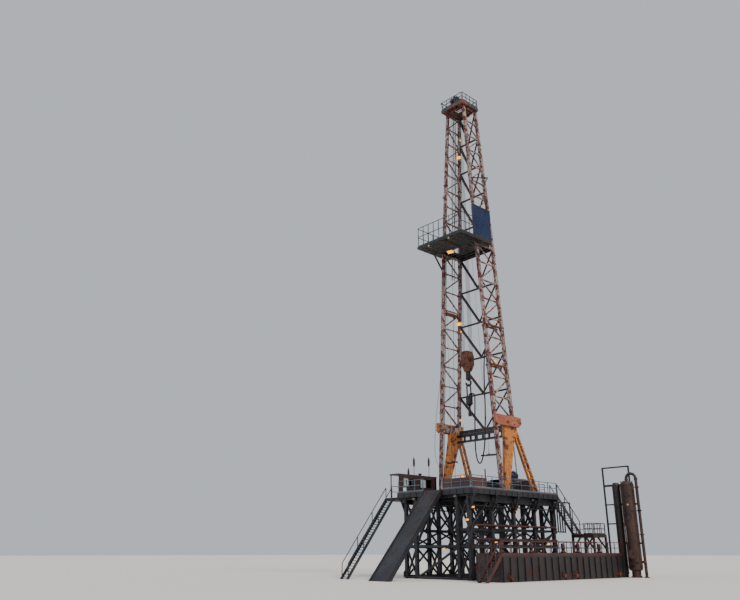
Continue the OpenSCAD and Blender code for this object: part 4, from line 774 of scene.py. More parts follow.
# latches on the board's fingers, and angles that brace it from below
FINGER_Y0, FINGER_Y1, FINGER_COUNT = -2.19, -1.005, 7
LATCH_X0, LATCH_PITCH, LATCH_Z = 0.27, 0.18, GRATE_Z + 0.02
latches, bracing = Stock(), Stock()
for i in range(FINGER_COUNT):
    y = FINGER_Y0 + 0.02 + i * (FINGER_Y1 - FINGER_Y0) / (FINGER_COUNT - 1)
    for s in (-1, 1):
        for x in (s * (LATCH_X0 + LATCH_PITCH * k) for k in range(5)):
            latches.block((x - 0.012, y - 0.018, GRATE_Z - 0.01), (x + 0.012, y + 0.018, GRATE_Z + 0.035))
            latches.tube([(x, y + 0.018, LATCH_Z), (x, y + 0.1, LATCH_Z)], 0.007, 6)
BRACE_Z = BOARD_Z - 0.012
for s in (-1, 1):
    a, b = s * (BOARD_IN + 0.05), s * (BOARD_HALF - 0.05)
    for y in (-2.3, -1.75, -1.2, -0.65):
        back = y + 0.55
        bracing.bar((a, y, BRACE_Z), (b, back, BRACE_Z), 0.045, 0.022, side=X)
        bracing.bar((a, back, BRACE_Z), (b, back, BRACE_Z), 0.045, 0.022, side=Y)
latches.piece("finger_latches", "yellow_tong", chamfer=0.002)
bracing.piece("board_underside_angles", "board_steel")

# wind wall: ribs outside, a dark cap, and posts to the board
WALL_X, WALL_Y0, WALL_Y1, WALL_TOP = BOARD_HALF - 0.01, -1.3, 0.1, GRATE_Z + 1.82
rib_x, rib_z = WALL_X + 0.004, (GRATE_Z + WALL_TOP) / 2
follow("wind_wall_ribs", "wind_wall_paint", BARS,
       [([(rib_x, WALL_Y0 + 0.03, rib_z), (rib_x, WALL_Y1 - 0.03, rib_z)], Z)],
       Pitch=0.096, Length=1.8, Breadth=0.035, Depth=0.018)
cap = Stock()
cap.block((WALL_X - 0.055, WALL_Y0 - 0.01, WALL_TOP - 0.05),
          (WALL_X + 0.018, WALL_Y1 + 0.01, WALL_TOP + 0.015))
cap.block((WALL_X - 0.004, WALL_Y0, GRATE_Z), (WALL_X + 0.016, WALL_Y1, GRATE_Z + 0.09))
for y in (WALL_Y0 + 0.03, (WALL_Y0 + WALL_Y1) / 2, WALL_Y1 - 0.03):
    cap.block((WALL_X - 0.085, y - 0.025, GRATE_Z), (WALL_X - 0.035, y + 0.025, WALL_TOP - 0.02))
cap.piece("wind_wall_cap_and_posts", "board_steel", chamfer=0.004)

# crown: gratings over the beams, a guard over the sheaves, a drip pan under them and a beacon
follow("crown_grating", "rusty_plate", BARS,
       [([(x, -0.73, CROWN_TOP + 0.008), (x, 0.47, CROWN_TOP + 0.008)], X) for x in (-0.55, 0.55)],
       Pitch=0.04, Length=0.34, Breadth=0.005, Depth=0.02)
SHEAVE_R = 0.31
SHEAVE_Z = CROWN_TOP + 0.02 + SHEAVE_R
GUARD_X, GUARD_DEEP, GUARD_HIGH, GUARD_TUBE = 0.205, SHEAVE_R + 0.05, SHEAVE_R - 0.02, 0.014
guard = Stock()


def over_sheaves(x, turn):
    """A point of the guard's arch, by its angle from the back."""
    return Vector((x, WELL_Y + GUARD_DEEP * math.cos(turn), SHEAVE_Z + GUARD_HIGH * math.sin(turn)))


for x in (-GUARD_X, GUARD_X):
    arc = [over_sheaves(x, math.pi * k / 14) for k in range(15)]
    guard.tube(arc, GUARD_TUBE, 8, up=X)
    for foot in (arc[0], arc[-1]):
        guard.tube([foot, (foot.x, foot.y, CROWN_TOP)], GUARD_TUBE, 8)
for turn in (0, math.pi / 8, math.pi * 7 / 8, math.pi):
    guard.tube([over_sheaves(-GUARD_X, turn), over_sheaves(GUARD_X, turn)], 0.01, 8)
guard.piece("crown_sheave_guard", "rail_paint")
PAN_Z = SHEAVE_Z - SHEAVE_R - 0.045
pan = Stock()
pan.block((-0.2, WELL_Y - 0.27, PAN_Z), (0.2, WELL_Y + 0.27, PAN_Z + 0.01))
for y in (WELL_Y - 0.26, WELL_Y + 0.26):
    pan.block((-0.26, y - 0.01, PAN_Z - 0.015), (0.26, y + 0.01, PAN_Z))
pan.piece("crown_drip_pan", "rusty_plate")
BEACON = Vector((-0.7, 0.5, CROWN_TOP))
post = Stock()
post.tube([BEACON, BEACON + Z * 0.5], 0.014, 8)
post.turned(BEACON + Z * 0.46, Z, [(0, 0), (0.035, 0), (0.035, 0.03), (0.028, 0.035), (0.028, 0.09),
                                   (0.012, 0.112), (0, 0.115)], 16)
post.piece("crown_beacon", "lamp_case")

# an arm with a strut on the mast's near side, above the board
ARM_FRONT, ARM_BACK = on_side(1, -0.56, 16.65, 0.1), on_side(1, 0.86, 17.18, 0.1)
arm = Stock()
arm.bar(ARM_FRONT, ARM_BACK, 0.06, 0.05)
arm.bar(ARM_BACK, on_side(1, 0.55, 16.75, 0.1), 0.04, 0.04)
for y, h in ((-0.56, 16.65), (0.62, 17.09)):
    side_block(arm, 1, (y - 0.05, y + 0.05), (h - 0.05, h + 0.05), (0.03, 0.12))
arm.piece("mast_line_arm", "board_steel", chamfer=0.003)

# heavy angle girts and braces over the back lacing, five bays below the board and five above
BACK_LOW, BACK_BAYS = 3.12, 5
girts = Stock()
for low, high in ((BACK_LOW, BOARD_H), (BOARD_H, MAST_H)):
    step = (high - low) / BACK_BAYS
    for i in range(BACK_BAYS):
        h, up = low + i * step, low + (i + 1) * step
        y, y_up = leg_y(h) + 0.035, leg_y(up) + 0.035
        x, x_up = FOOT_X - h * LEAN - 0.02, FOOT_X - up * LEAN - 0.1
        if i:
            girts.block((-x, y, FLOOR + h - 0.05), (x, y + 0.012, FLOOR + h + 0.05))
            girts.block((-x, y + 0.012, FLOOR + h + 0.038), (x, y + 0.075, FLOOR + h + 0.05))
        for s in (-1, 1):
            girts.bar((0, y + 0.02, FLOOR + h + 0.06), (s * x_up, y_up + 0.02, FLOOR + up - 0.06),
                      0.075, 0.03)
# these angles take the same dark brace paint, painted shade over the back of the mast
girts.piece("mast_back_angles", "shaded_brace_paint", chamfer=0.002)

# shelves on brackets across the mast's sides, beside the lamps there
SHELF_WIDE = 0.11
shelves = Stock()
for side, h, y0 in ((1, 8.1, -0.74), (1, 6.03, -0.74), (-1, 9.4, -0.6)):
    for outs in ((LEG_FACE, LEG_FACE + SHELF_WIDE), (-LEG_FACE - SHELF_WIDE, -LEG_FACE)):
        side_block(shelves, side, (y0, 0.45), (h, h + 0.07), outs)
        for y in (y0 + 0.06, 0.33):
            side_block(shelves, side, (y, y + 0.06), (h - 0.14, h), outs)
shelves.piece("mast_lamp_shelves", "rusty_plate", chamfer=0.003)

# the drum's line and the dead line, laid wire rope from the crown cluster, and the dead line's anchor
fast = [(0.14, -0.153, SHEAVE_Z), (-0.1, 1.9, 4.39)]
dead = [(-0.14, -0.747, SHEAVE_Z), (-1.0, -0.62, 4.12)]
follow("fast_and_dead_lines", "wire_rope", ROPE_LAY, [(fast, X), (dead, X)], Diameter=ROPE * 1.05, Lay=0.11)
anchor = Stock()
anchor.block((-1.2, -0.78, FLOOR), (-0.86, -0.46, FLOOR + 0.05))
anchor.spool((-1.16, -0.62, 4.02), X, rim=0.16, hub=0.1, cheek=0.025, slope=0.005, run=0.23, sides=28)
for x in (-1.175, -0.905):
    anchor.plate([(x, -0.76, FLOOR), (x, -0.48, FLOOR), (x, -0.56, 4.08), (x, -0.68, 4.08)], (0.015, 0, 0))
anchor.piece("dead_line_anchor", "drawworks_paint", chamfer=0.002)

# two pairs of tongs on their hanging lines: arm, counterweight, open jaw and link
JAW_R = 0.13
tongs, lines, blocks = Stock(), [], Stock()
for s, top, low in ((1, Vector((0.95, -0.9, BOARD_Z)), Vector((1.3, -0.75, 5.78))),
                    (-1, Vector((-0.86, -0.9, BOARD_Z)), Vector((-1.01, -0.78, 5.62)))):
    lines.append(([top, low], Y))
    blocks.spool(top - Y * 0.03 - Z * 0.05, Y, rim=0.05, hub=0.035, cheek=0.015, slope=0.005, run=0.06,
                 sides=20)
    inward = Vector((-s, -0.25, 0)).normalized()
    over = inward.cross(Z)
    jaw = low - Z * 0.3
    tongs.tube([low, low - Z * 0.22], 0.012, 8)
    tongs.bar(jaw - inward * 0.3, jaw + inward * 0.16, 0.09, 0.05)
    tongs.disc(jaw - inward * 0.36 - Z * 0.04, Z, 0.045, 0.08, 16)
    arc = [jaw + inward * (JAW_R * 2 + JAW_R * math.cos(a)) + over * JAW_R * math.sin(a)
           for a in (math.radians(150 - 25 * k) for k in range(12))]
    tongs.tube(arc, 0.03, 8, up=Z)
    tongs.bar(low - Z * 0.2, jaw + Z * 0.02, 0.05, 0.03, side=inward)
tongs.piece("hanging_tongs", "hook_iron", chamfer=0.003)
blocks.piece("tong_line_sheaves", "sheave_iron")
follow("tong_lines", "wire_rope", ROPE_LAY, lines, Diameter=0.012, Lay=0.08)

# rotary table: ring of bolts, tread bars on its cover and the split bushing
TABLE = Vector((0, WELL_Y, FLOOR + 0.04))
COVER_BOLTS_R, TREAD_R, BUSHING_R = 0.285, (0.165, 0.255), (0.155, 0.132)
bolt_heads("rotary_cover_bolts", heads(around(TABLE, COVER_BOLTS_R, 24, X, Y), Z), 0.02, 0.008)
tread = Stock()
tread_in, tread_out = (around(TABLE + Z * 0.003, radius, 36, X, Y) for radius in TREAD_R)
for a, b in zip(tread_in, tread_out):
    tread.bar(a, b, 0.008, 0.006, side=Z.cross(b - a))
for s in (0, 1):
    turns = [math.pi * (s + 0.01 + 0.98 * k / 12) for k in range(13)]
    half = [TABLE + radius * (X * math.cos(a) + Y * math.sin(a))
            for radius, span in zip(BUSHING_R, (turns, turns[::-1])) for a in span]
    tread.plate(half, (0, 0, 0.014))
tread.piece("rotary_tread_and_bushing", "hook_iron", chamfer=0.001)

# drawworks: line wound on the drum, covers, bolts and louvres
DRUM_Y, DRUM_Z, DRUM_R, LINE_R = 2.05, FLOOR + 0.45, 0.2, ROPE / 2
DRUM_X0, DRUM_RUN, DRUM_TURNS, TURN_POINTS = -0.9291, 1.46, 80, 12
WORKS_FRONT = 1.52
steps = DRUM_TURNS * TURN_POINTS
coil = [(DRUM_X0 + DRUM_RUN * k / steps, DRUM_Y + DRUM_R * math.cos(a), DRUM_Z + DRUM_R * math.sin(a))
        for k, a in ((k, 2 * math.pi * k / TURN_POINTS) for k in range(steps + 1))]
Stock().tube(coil, LINE_R, 6, up=X).piece("drum_line", "wire_rope")
works, works_bolts = Stock(), []
for x, way in ((-1.25, -X), (1.05, X)):
    end = Vector((x, DRUM_Y, DRUM_Z))
    works.turned(end, way, [(0, 0), (0.2, 0), (0.2, 0.02), (0.11, 0.035), (0.09, 0.07), (0, 0.07)], 28)
    works_bolts += heads(around(end + way * 0.018, 0.17, 12, Y, Z), way)
works.block((-1.22, WORKS_FRONT + 0.005, 4.0), (-1.03, WORKS_FRONT + 0.03, 4.5))
works.block((0.63, WORKS_FRONT + 0.005, 3.98), (0.98, WORKS_FRONT + 0.03, 4.42))
for x in (-0.99, -0.35, 0.3, 0.59):
    works.bar((x, WORKS_FRONT, FLOOR + 0.08), (x, 1.78, FLOOR + 0.42), 0.04, 0.03, side=X)
works.block((-1.0, WORKS_FRONT - 0.05, FLOOR + 0.08), (0.6, WORKS_FRONT, FLOOR + 0.16))
works.piece("drawworks_covers", "drawworks_paint", chamfer=0.004)
bolt_heads("drawworks_bolts", works_bolts, 0.024, 0.01)
follow("drawworks_louvres", "drawworks_paint", BARS,
       [([(x, WORKS_FRONT, z0), (x, WORKS_FRONT, z1)], X)
        for x, z0, z1 in ((0.8, 4.03, 4.38), (-1.125, 4.05, 4.45))],
       Pitch=0.04, Length=0.15, Breadth=0.006, Depth=0.02)

# the drive motor on top: end bells, fins round its frame, a terminal box and a breather
MOTOR_X, MOTOR_Z, FIN_R = 0.74, FLOOR + 0.8 + 0.13, 0.142
motor = Stock()
motor.turned((MOTOR_X, WORKS_FRONT, MOTOR_Z), Y, [
    (0, 0), (0.1, 0), (0.125, 0.02), (0.14, 0.05), (0.14, 0.13), (0.132, 0.135), (0.132, 0.41),
    (FIN_R, 0.415), (FIN_R, 0.5), (0.1, 0.53), (0.03, 0.54), (0.03, 0.6), (0, 0.6)], 32)
motor.block((MOTOR_X - 0.08, 1.72, MOTOR_Z + 0.1), (MOTOR_X + 0.08, 1.9, MOTOR_Z + 0.21))
motor.turned((MOTOR_X - 0.02, 1.81, MOTOR_Z + 0.2), Z, [(0, 0), (0.04, 0), (0.03, 0.06), (0, 0.06)], 12)
middle = Vector((MOTOR_X, 1.67, MOTOR_Z))
for fin in around(middle, FIN_R, 20, X, Z):
    motor.bar(fin, fin + Y * 0.25, 0.026, 0.006, side=fin - middle)
motor.piece("drawworks_motor", "motor_paint", chamfer=0.002)
GRAB_Z = FLOOR + 0.56
hood = Stock()
hood.tube([(-1.2, 1.52, GRAB_Z), (-1.2, 1.5, GRAB_Z), (1.0, 1.5, GRAB_Z), (1.0, 1.54, GRAB_Z)], 0.014, 8)
hood.piece("drawworks_grab_rail", "rail_paint")

# a tool chest beside the drawworks: plinth, body, lid and two doors
CHEST_X0, CHEST_X1, CHEST_Y0, CHEST_Y1 = 1.16, 1.62, 1.8, 2.32
chest = Stock()
for inset, z0, z1 in ((0, 0, 0.06), (0.02, 0.06, 0.6), (0, 0.6, 0.64)):
    chest.block((CHEST_X0 + inset, CHEST_Y0 + inset, FLOOR + z0),
                (CHEST_X1 - inset, CHEST_Y1 - inset, FLOOR + z1))
for x in (CHEST_X0 + 0.06, CHEST_X0 + 0.25):
    chest.block((x, CHEST_Y0, FLOOR + 0.12), (x + 0.15, CHEST_Y0 + 0.03, FLOOR + 0.54))
chest.piece("floor_tool_chest", "floor_paint", chamfer=0.006)

# doghouse: sheet ribs, roof ribs, frames and half-open panes
DOG_X, DOG_OUT, DOG_TOP = -2.3003, -2.9003, 4.68
DOG_Y0, DOG_Y1, PORCH_Y = -2.1, -0.55, -3.2
RIB_Z, SILL_Z, LINTEL_Z = 4.15, 4.12, 4.58
ribs = [([(x, y, RIB_Z), (x, y + 0.26, RIB_Z)], Z)
        for x in (DOG_X + 0.006, DOG_OUT - 0.006) for y in (DOG_Y0 + 0.04, DOG_Y1 - 0.3)]
ribs.append(([(DOG_OUT + 0.04, DOG_Y1 + 0.006, RIB_Z), (DOG_X - 0.04, DOG_Y1 + 0.006, RIB_Z)], Z))
follow("doghouse_sheet_ribs", "doghouse_paint", BARS, ribs, Pitch=0.08, Length=1.0, Breadth=0.03, Depth=0.014)
follow("doghouse_roof_ribs", "doghouse_paint", BARS,
       [([(-2.62, PORCH_Y, DOG_TOP + 0.054), (-2.62, DOG_Y1, DOG_TOP + 0.054)], X)],
       Pitch=0.15, Length=0.6, Breadth=0.02, Depth=0.014)
BAR_WIDE = 0.03
frames, panes = Stock(), Stock()
for x, out, y0, y1 in ((DOG_X, 1, DOG_Y0 + 0.35, DOG_Y1 - 0.35), (DOG_OUT, -1, DOG_Y0 + 0.35, DOG_Y1 - 0.35),
                       (DOG_X, 1, PORCH_Y + 0.27, DOG_Y0 - 0.05)):
    a, b = sorted((x - out * 0.01, x + out * 0.014))
    half = (y0 + y1) / 2
    for z in (SILL_Z, LINTEL_Z - BAR_WIDE):
        frames.block((a, y0, z), (b, y1, z + BAR_WIDE))
    for y in (y0, half - 0.012, y1 - BAR_WIDE):
        frames.block((a, y, SILL_Z), (b, y + BAR_WIDE, LINTEL_Z))
    panes.block((x - out * 0.026, y0 + BAR_WIDE, SILL_Z + BAR_WIDE),
                (x - out * 0.018, half, LINTEL_Z - BAR_WIDE))
# the frame of the door from the porch
DOOR_X0, DOOR_X1, DOOR_Y0, DOOR_Y1 = -2.8203, -2.3803, DOG_Y0 - 0.014, DOG_Y0 + 0.01
for x in (DOOR_X0, DOOR_X1 - BAR_WIDE):
    frames.block((x, DOOR_Y0, 3.64), (x + BAR_WIDE, DOOR_Y1, LINTEL_Z))
frames.block((DOOR_X0 + GAP, DOOR_Y0, LINTEL_Z - BAR_WIDE), (DOOR_X1 + GAP, DOOR_Y1, LINTEL_Z))
frames.piece("doghouse_frames", "doghouse_paint", chamfer=0.002)
panes.piece("doghouse_panes", "window_glass")

# aerials with thick heads on the doghouse roof, and its vent
ROOF_Z = DOG_TOP + 0.05
aerials = Stock()
for x, y, top in ((-2.6, -0.77, 5.74), (-2.6, -1.85, 5.66), (-2.5, -2.35, 5.08)):
    aerials.turned((x, y, ROOF_Z), Z, [(0, 0), (0.035, 0), (0.03, 0.03), (0.014, 0.06), (0.012, top - 5.25),
                                       (0.05, top - 5.15), (0.055, top - 4.9), (0.02, top - 4.76),
                                       (0, top - 4.729)], 12)
aerials.turned((-2.72, -1.3, ROOF_Z), Z, [(0, 0), (0.06, 0), (0.06, 0.08), (0.1, 0.09), (0.09, 0.14),
                                          (0.02, 0.17), (0, 0.17)], 20)
aerials.piece("doghouse_aerials_and_vent", "board_steel")

# substructure: shoes under the columns, and gussets with bolts where the beams meet them
SHOE_HALF, SHOE_TOP, PLATE = 0.13, 0.022, 0.01
SIDE_BOLTS = ((-0.12, -0.05), (-0.12, 0.05), (0.12, -0.05), (0.12, 0.05), (-0.05, 0.15), (0.05, 0.15))
shoes, knots, knot_bolts = Stock(), Stock(), []
for side in (-1, 1):
    for y in COLUMN_ROWS:
        for x in (side * COLUMN_OUT, side * COLUMN_IN):
            shoes.block((x - SHOE_HALF, y - SHOE_HALF, 0), (x + SHOE_HALF, y + SHOE_HALF, SHOE_TOP))
            knot_bolts += heads([(x + dx, y + dy, SHOE_TOP) for dx in (-0.1, 0.1) for dy in (-0.1, 0.1)], Z)
        for z in (0.16, *BEAM_Z):
            outline = [(-0.16, -0.1), (0.16, -0.1), (0.16, 0.1), (0.08, 0.2), (-0.08, 0.2), (-0.16, 0.1)]
            knots.plate([(side * BOX_X, y + dy, z + dz) for dy, dz in outline], (side * PLATE, 0, 0))
            knot_bolts += heads([(side * (BOX_X + PLATE), y + dy, z + dz) for dy, dz in SIDE_BOLTS], side * X)
for x in (-COLUMN_OUT, -COLUMN_IN, COLUMN_IN, COLUMN_OUT):
    for z in BEAM_Z:
        knots.block((x - 0.12, BOX_FRONT - PLATE, z - 0.1), (x + 0.12, BOX_FRONT, z + 0.1))
        knot_bolts += heads([(x + dx, BOX_FRONT - PLATE, z + dz)
                             for dx in (-0.09, 0.09) for dz in (-0.06, 0.06)], -Y)
shoes.piece("substructure_shoes", "dark_steel", chamfer=0.003)
knots.piece("substructure_gussets", "dark_steel")
bolt_heads("substructure_bolts", knot_bolts, 0.026, 0.011)

# stiffeners in the web of the beam round the floor's edge
WEB_Z, SIDE_X, FRONT_Y = FLOOR - 0.14, FLOOR_HALF + 0.006, FLOOR_FRONT - 0.006
follow("floor_edge_stiffeners", "dark_steel", BARS,
       [([(SIDE_X, FLOOR_FRONT + 0.05, WEB_Z), (SIDE_X, FLOOR_REAR - 0.05, WEB_Z)], X),
        ([(-FLOOR_HALF + 0.05, FRONT_Y, WEB_Z), (-0.62, FRONT_Y, WEB_Z)], Y),
        ([(0.62, FRONT_Y, WEB_Z), (FLOOR_HALF - 0.05, FRONT_Y, WEB_Z)], Y)],
       Pitch=0.4, Length=0.03, Breadth=0.014, Depth=0.19)

# two mud lines along the near side, with flanged joints and brackets
MUD_X, MUD_R = 2.12, 0.045
mud = Stock()
for z in (2.25, 1.66):
    mud.tube([(MUD_X, -3.0, z), (MUD_X, 3.05, z)], MUD_R, 12)
    for y in (-2.2, -0.8, 0.8, 2.2):
        mud.spool((MUD_X, y - 0.03, z), Y, rim=0.075, hub=0.05, cheek=0.026, slope=0.002, run=0.06, sides=16)
    for y in COLUMN_ROWS:
        mud.block((BOX_X, y - 0.03, z - MUD_R - 0.025), (MUD_X + 0.05, y + 0.03, z - MUD_R))
mud.piece("mud_lines", "tank_paint")

# cable trays along both sides, with three cables in each
TRAY_Y, TRAY_Z, TRAY_WIDE, TRAY_THICK = 3.1, 3.05, 0.1, 0.004
trays = Stock()
for side in (-1, 1):
    x = side * (BOX_X + 0.01)
    far = x + side * TRAY_WIDE
    near = x + side * TRAY_THICK
    trays.block((min(x, near), -TRAY_Y, TRAY_Z), (max(x, near), TRAY_Y, TRAY_Z + 0.05))
    trays.block((min(x, far), -TRAY_Y, TRAY_Z), (max(x, far), TRAY_Y, TRAY_Z + TRAY_THICK))
    for off in (0.03, 0.055, 0.08):
        trays.tube([(x + side * off, y, TRAY_Z + 0.016) for y in (-TRAY_Y, TRAY_Y)], 0.01, 6)
trays.piece("substructure_cable_trays", "dark_steel")

# ramp: cleats across it and two skid bars down it
RAMP_REACH = 3.3
RAMP_TOP, RAMP_FOOT = Vector((0, FLOOR_FRONT, FLOOR)), Vector((0, FLOOR_FRONT - RAMP_REACH, 0))
ramp_way = (RAMP_FOOT - RAMP_TOP).normalized()
ramp_up = ramp_way.cross(X)
lift = ramp_up * 0.004
follow("ramp_cleats", "floor_paint", BARS,
       [([RAMP_TOP + ramp_way * 0.25 + lift, RAMP_FOOT - ramp_way * 0.3 + lift], X)],
       Pitch=0.34, Length=0.96, Breadth=0.03, Depth=0.016)
skids = Stock()
for x in (-0.28, 0.28):
    off = X * x + ramp_up * 0.008
    skids.bar(RAMP_TOP + ramp_way * 0.1 + off, RAMP_FOOT - ramp_way * 0.15 + off, 0.05, 0.024, side=X)
skids.piece("ramp_skid_bars", "hook_iron", chamfer=0.003)

# stairs: nosings on the treads, yellow on the rear stair
for name, finish, top, foot, count in (
        ("front_stair_nosings", "stair_steel", (-2.955, -3.2003, 3.62), (-2.955, -6.1003, 0), 32),
        ("rear_stair_nosings", "yellow_tong", (2.015, 3.2003, FLOOR), (2.015, 5.1003, 1.95), 16)):
    top, foot = Vector(top), Vector(foot)
    lift = Vector((0, math.copysign(0.07, foot.y - top.y), -0.008))
    first, last = top.lerp(foot, 1 / count), top.lerp(foot, (count - 1) / count)
    follow(name, finish, BARS, [([first + lift, last + lift], X)],
           Pitch=(last - first).length / (count - 2), Length=0.385, Breadth=0.012, Depth=0.02)

# mud tanks: ribs on the sides, bars in the walkways, stirrers and drain valves
RIB_MID, WALK_Z = 0.48, 1.04
tank_ribs = [([(x, TANK_Y0 + 0.1, RIB_MID), (x, TANK_Y1 - 0.1, RIB_MID)], Z)
             for x in (TANK_X1 + 0.02, TANK_X0 - 0.02)]
tank_ribs.append(([(x, TANK_Y1 + 0.02, RIB_MID) for x in (TANK_X0 + 0.15, TANK_X1 - 0.15)], Z))
follow("tank_side_ribs", "tank_shell_paint", BARS, tank_ribs,
       Pitch=0.46, Length=0.9, Breadth=0.06, Depth=0.05)
follow("tank_walkway_bars", "tank_paint", BARS,
       [([(x, TANK_Y0 + 0.03, WALK_Z), (x, TANK_Y1 - 0.03, WALK_Z)], X)
        for x in (TANK_X0 + 0.21, TANK_X1 - 0.21)],
       Pitch=0.05, Length=0.34, Breadth=0.006, Depth=0.02)
STIRRER_X, STIRRER_BEAM, STIRRER_FOOT = 3.65, 1.11, 1.13
stirrers = Stock()
for y in (-3.2, -1.2, 1.2, 2.4, 4.2):
    for near in (y - 0.12, y + 0.06):
        stirrers.block((TANK_X0 + 0.3, near, 1.03), (TANK_X1 - 0.3, near + 0.06, STIRRER_BEAM))
    stirrers.block((STIRRER_X - 0.12, y - 0.13, STIRRER_BEAM), (STIRRER_X + 0.12, y + 0.13, STIRRER_FOOT))
    stirrers.turned((STIRRER_X, y, STIRRER_FOOT), Z, [
        (0, 0), (0.11, 0), (0.11, 0.03), (0.075, 0.05), (0.075, 0.13), (0.09, 0.14), (0.09, 0.34),
        (0.06, 0.38), (0, 0.385)], 20)
    stirrers.tube([(STIRRER_X, y, 1.12), (STIRRER_X, y, 0.3)], 0.02, 8)
stirrers.piece("tank_stirrers", "drawworks_paint", chamfer=0.003)
STEM_X, WHEEL_Z, WHEEL_R = TANK_X1 + 0.07, 0.34, 0.06
valves = Stock()
for y in (-3.6, 0.1, 1.0, 4.6):
    valves.turned((TANK_X1, y, 0.18), X, [(0, 0), (0.09, 0), (0.09, 0.02), (0.05, 0.022), (0.05, 0.1),
                                          (0.08, 0.102), (0.08, 0.12), (0, 0.12)], 20)
    hub = Vector((STEM_X, y, WHEEL_Z))
    valves.tube([(STEM_X, y, 0.2), hub], 0.012, 8)
    wheel = around(hub, WHEEL_R, 16, X, Y)
    valves.tube([*wheel, wheel[0]], 0.008, 6, up=Z)
    valves.bar(hub - X * WHEEL_R, hub + X * WHEEL_R, 0.012, 0.008)
valves.piece("tank_drain_valves", "block_paint")

# separator: manway, flanged nozzles, the vent line's joints, bands and lifting lugs
VESSEL_R, BAND_R = 0.32, 0.326
fittings, flange_bolts = Stock(), []


def flanged(foot, way, bore, reach, holes):
    """A short pipe with a bolted flange and its blind cover."""
    rim = bore * 1.75
    joint = rim * 0.97
    fittings.turned(foot, way, [(0, -0.02), (bore, -0.02), (bore, reach - 0.05), (rim, reach - 0.048),
                                (rim, reach - 0.028), (joint, reach - 0.026), (joint, reach - 0.022),
                                (rim, reach - 0.02), (rim, reach), (0, reach)], 28)
    u = way.orthogonal().normalized()
    flange_bolts.extend(heads(around(foot + way * reach, rim * 0.82, holes, u, way.cross(u)), way))


toward = Vector((0.35, -0.94, 0)).normalized()
for z, bore, reach, holes in ((1.05, 0.13, 0.1, 14), (2.7, 0.055, 0.12, 8), (3.75, 0.04, 0.1, 6)):
    flanged(VESSEL + toward * VESSEL_R * 0.98 + Z * z, toward, bore, reach, holes)
flanged(VESSEL - Y * VESSEL_R * 0.98 + Z * 0.6 - X * 0.02, -Y, 0.045, 0.12, 6)
VENT_LINE = VESSEL + X * 0.5
flanged(VENT_LINE - Y * 0.06 + Z * 0.7, -Y, 0.035, 0.12, 6)
for z in (1.9, 3.0, 4.1):
    fittings.spool(VENT_LINE + Z * z, Z, rim=0.118, hub=0.1, cheek=0.018, slope=0.002, run=0.044, sides=24)
    flange_bolts += heads(around(VENT_LINE + Z * (z + 0.044), 0.098, 8, X, Y), Z)
for z in (0.45, 2.3, 4.2):
    fittings.disc(VESSEL + Z * z, Z, BAND_R, 0.05, 48)
for turn in (math.radians(20), math.radians(200)):
    out = X * math.cos(turn) + Y * math.sin(turn)
    across = Z.cross(out)
    foot = VESSEL + out * 0.26 + Z * 4.33
    fittings.plate([foot - across * 0.05, foot + across * 0.05, foot + across * 0.03 + Z * 0.13,
                    foot - across * 0.03 + Z * 0.13], out * 0.02)
fittings.piece("separator_fittings", "vessel_paint")
bolt_heads("separator_bolts", flange_bolts, 0.02, 0.012)

# the separator's level gauge between two cocks, and a pressure gauge
GAUGE = VESSEL + Vector((-0.12, -0.33, 0))
gauge = Stock()
gauge.tube([GAUGE + Z * 1.6, GAUGE + Z * 2.3], 0.014, 10)
for z in (1.6, 2.3):
    gauge.tube([GAUGE + Z * z - Y * 0.01, GAUGE + Z * z + Y * 0.05], 0.016, 8, up=Z)
gauge.turned(VESSEL + toward * VESSEL_R + Z * 3.3, toward, [(0, 0), (0.015, 0), (0.015, 0.05), (0.05, 0.05),
                                                            (0.05, 0.08), (0, 0.08)], 20)
gauge.piece("separator_gauges", "lamp_case")

# bands and a nozzle on the smaller vessel
TRIP = Vector((4.09, 5.6006, 0))
small = Stock()
for z in (0.3, 1.6, 3.0, 4.2):
    small.disc(TRIP + Z * z, Z, 0.196, 0.04, 36)
small.turned(TRIP - Y * 0.18 + Z * 0.8, -Y, [(0, 0), (0.04, 0), (0.04, 0.06), (0.07, 0.062), (0.07, 0.1),
                                             (0, 0.1)], 20)
small.piece("trip_vessel_bands", "black_vessel")

# travelling block: sheave pin, hook pin and bolts on its cheeks, which ride with the hoist
BLOCK = Vector((0, WELL_Y, 9.8))
CHEEK_X, PIN_Z = 0.17, 0.63
CHEEK_BOLTS = ((0.27, 0.42), (0.28, 0.62), (0.26, 0.8), (0.17, 0.97), (0.05, 1.0), (0.17, 0.2), (0.1, 0.08))
yoke, yoke_bolts = Stock(), []
for way in (-X, X):
    cheek = BLOCK + way * CHEEK_X
    yoke.turned(cheek + Z * PIN_Z, way, [(0, 0), (0.14, 0), (0.14, 0.014), (0.09, 0.022), (0.07, 0.05),
                                         (0, 0.05)], 28)
    yoke.disc(cheek + Z * 0.14, way, 0.06, 0.03, 20)
    yoke_bolts += heads(around(cheek + way * 0.012 + Z * PIN_Z, 0.12, 10, Y, Z), way)
    yoke_bolts += heads([cheek + Y * s * y + Z * z for y, z in CHEEK_BOLTS for s in (-1, 1)], way)
yoke.piece("block_pins", "hook_iron", "block", chamfer=0.002)
bolt_heads("block_bolts", yoke_bolts, 0.026, 0.012, "block")

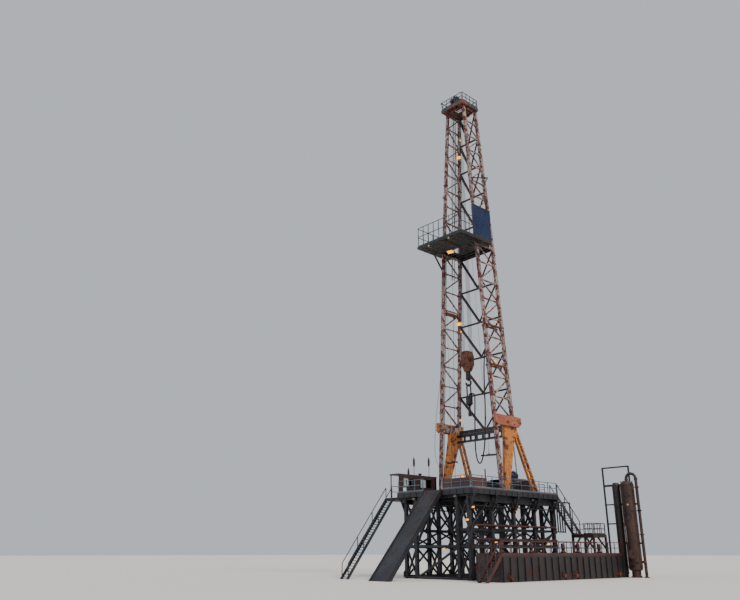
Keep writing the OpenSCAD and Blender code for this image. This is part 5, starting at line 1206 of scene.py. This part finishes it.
# bands of the hook's shank and of the swivel, whose heights are measured from its lowest point
WELL = Vector((0, WELL_Y, 0))
SWIVEL_LOW = min(corner[2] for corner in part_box("swivel"))
SWIVEL_BODY = SWIVEL_LOW + 0.6
bands = Stock()
for z, radius, thick in ((9.72, 0.133, 0.05), (9.56, 0.131, 0.03), (9.42, 0.134, 0.04),
                         (SWIVEL_BODY + 0.02, 0.178, 0.05), (SWIVEL_BODY + 0.32, 0.178, 0.06)):
    bands.disc(WELL + Z * z, Z, radius, thick, 36)
for z in (0.02, 0.24):
    bands.disc(WELL + Z * (SWIVEL_LOW + z), Z, 0.088, 0.03, 28)
bands.disc((0.13, WELL_Y, HOSE[0][2]), X, 0.06, 0.045, 20)
bands.piece("hook_and_swivel_bands", "hook_iron", "block", chamfer=0.003)
bolt_heads("swivel_bolts", heads(around(WELL + Z * (SWIVEL_BODY + 0.4), 0.155, 12, X, Y), Z), 0.024, 0.012,
           "block")

# clamps that hold the standpipe to its leg
clamps = Stock()
for z in (4.6, 6.2, 7.8, 9.4, 11.0):
    x = FOOT_X - (z - FLOOR) * LEAN - LEG_FACE - 0.058
    clamps.disc((x, -DEPTH_HALF, z), Z, 0.044, 0.05, 18)
clamps.piece("standpipe_clamps", "hook_iron")

# floor and light
STAGE_HALF = 300
ground = bpy.data.meshes.new("studio_floor")
ground.from_pydata(corners(Vector((0, 0, 0)), X * STAGE_HALF, Y * STAGE_HALF)[::-1], [], [(0, 1, 2, 3)])
studio_floor = show("studio_floor", ground)
# matt painted board: no gloss, one even tone
board, tree, skin, place = finish_of("matt_floor_board")
skin.inputs["Base Color"].default_value = linear("#d3d1cd")
skin.inputs["Roughness"].default_value = 0.95
ground.materials.append(board)

world = bpy.data.worlds.new("studio")
SCENE.world = world
world.use_nodes = True
sky = world.node_tree.nodes["Background"]
sky.inputs["Color"].default_value = linear("#dfe5ee")
sky.inputs["Strength"].default_value = 0.75
for name, turn, strength, spread, tint in (("key", (48, 0, 78), 3.1, 25, "#fff0dc"),
                                           ("fill", (60, 0, -20), 0.7, 60, "#e6efff")):
    sun = bpy.data.lights.new(name, "SUN")
    sun.energy = strength
    sun.angle = math.radians(spread)
    sun.color = linear(tint)[:3]
    show(name, sun).rotation_euler = [math.radians(a) for a in turn]
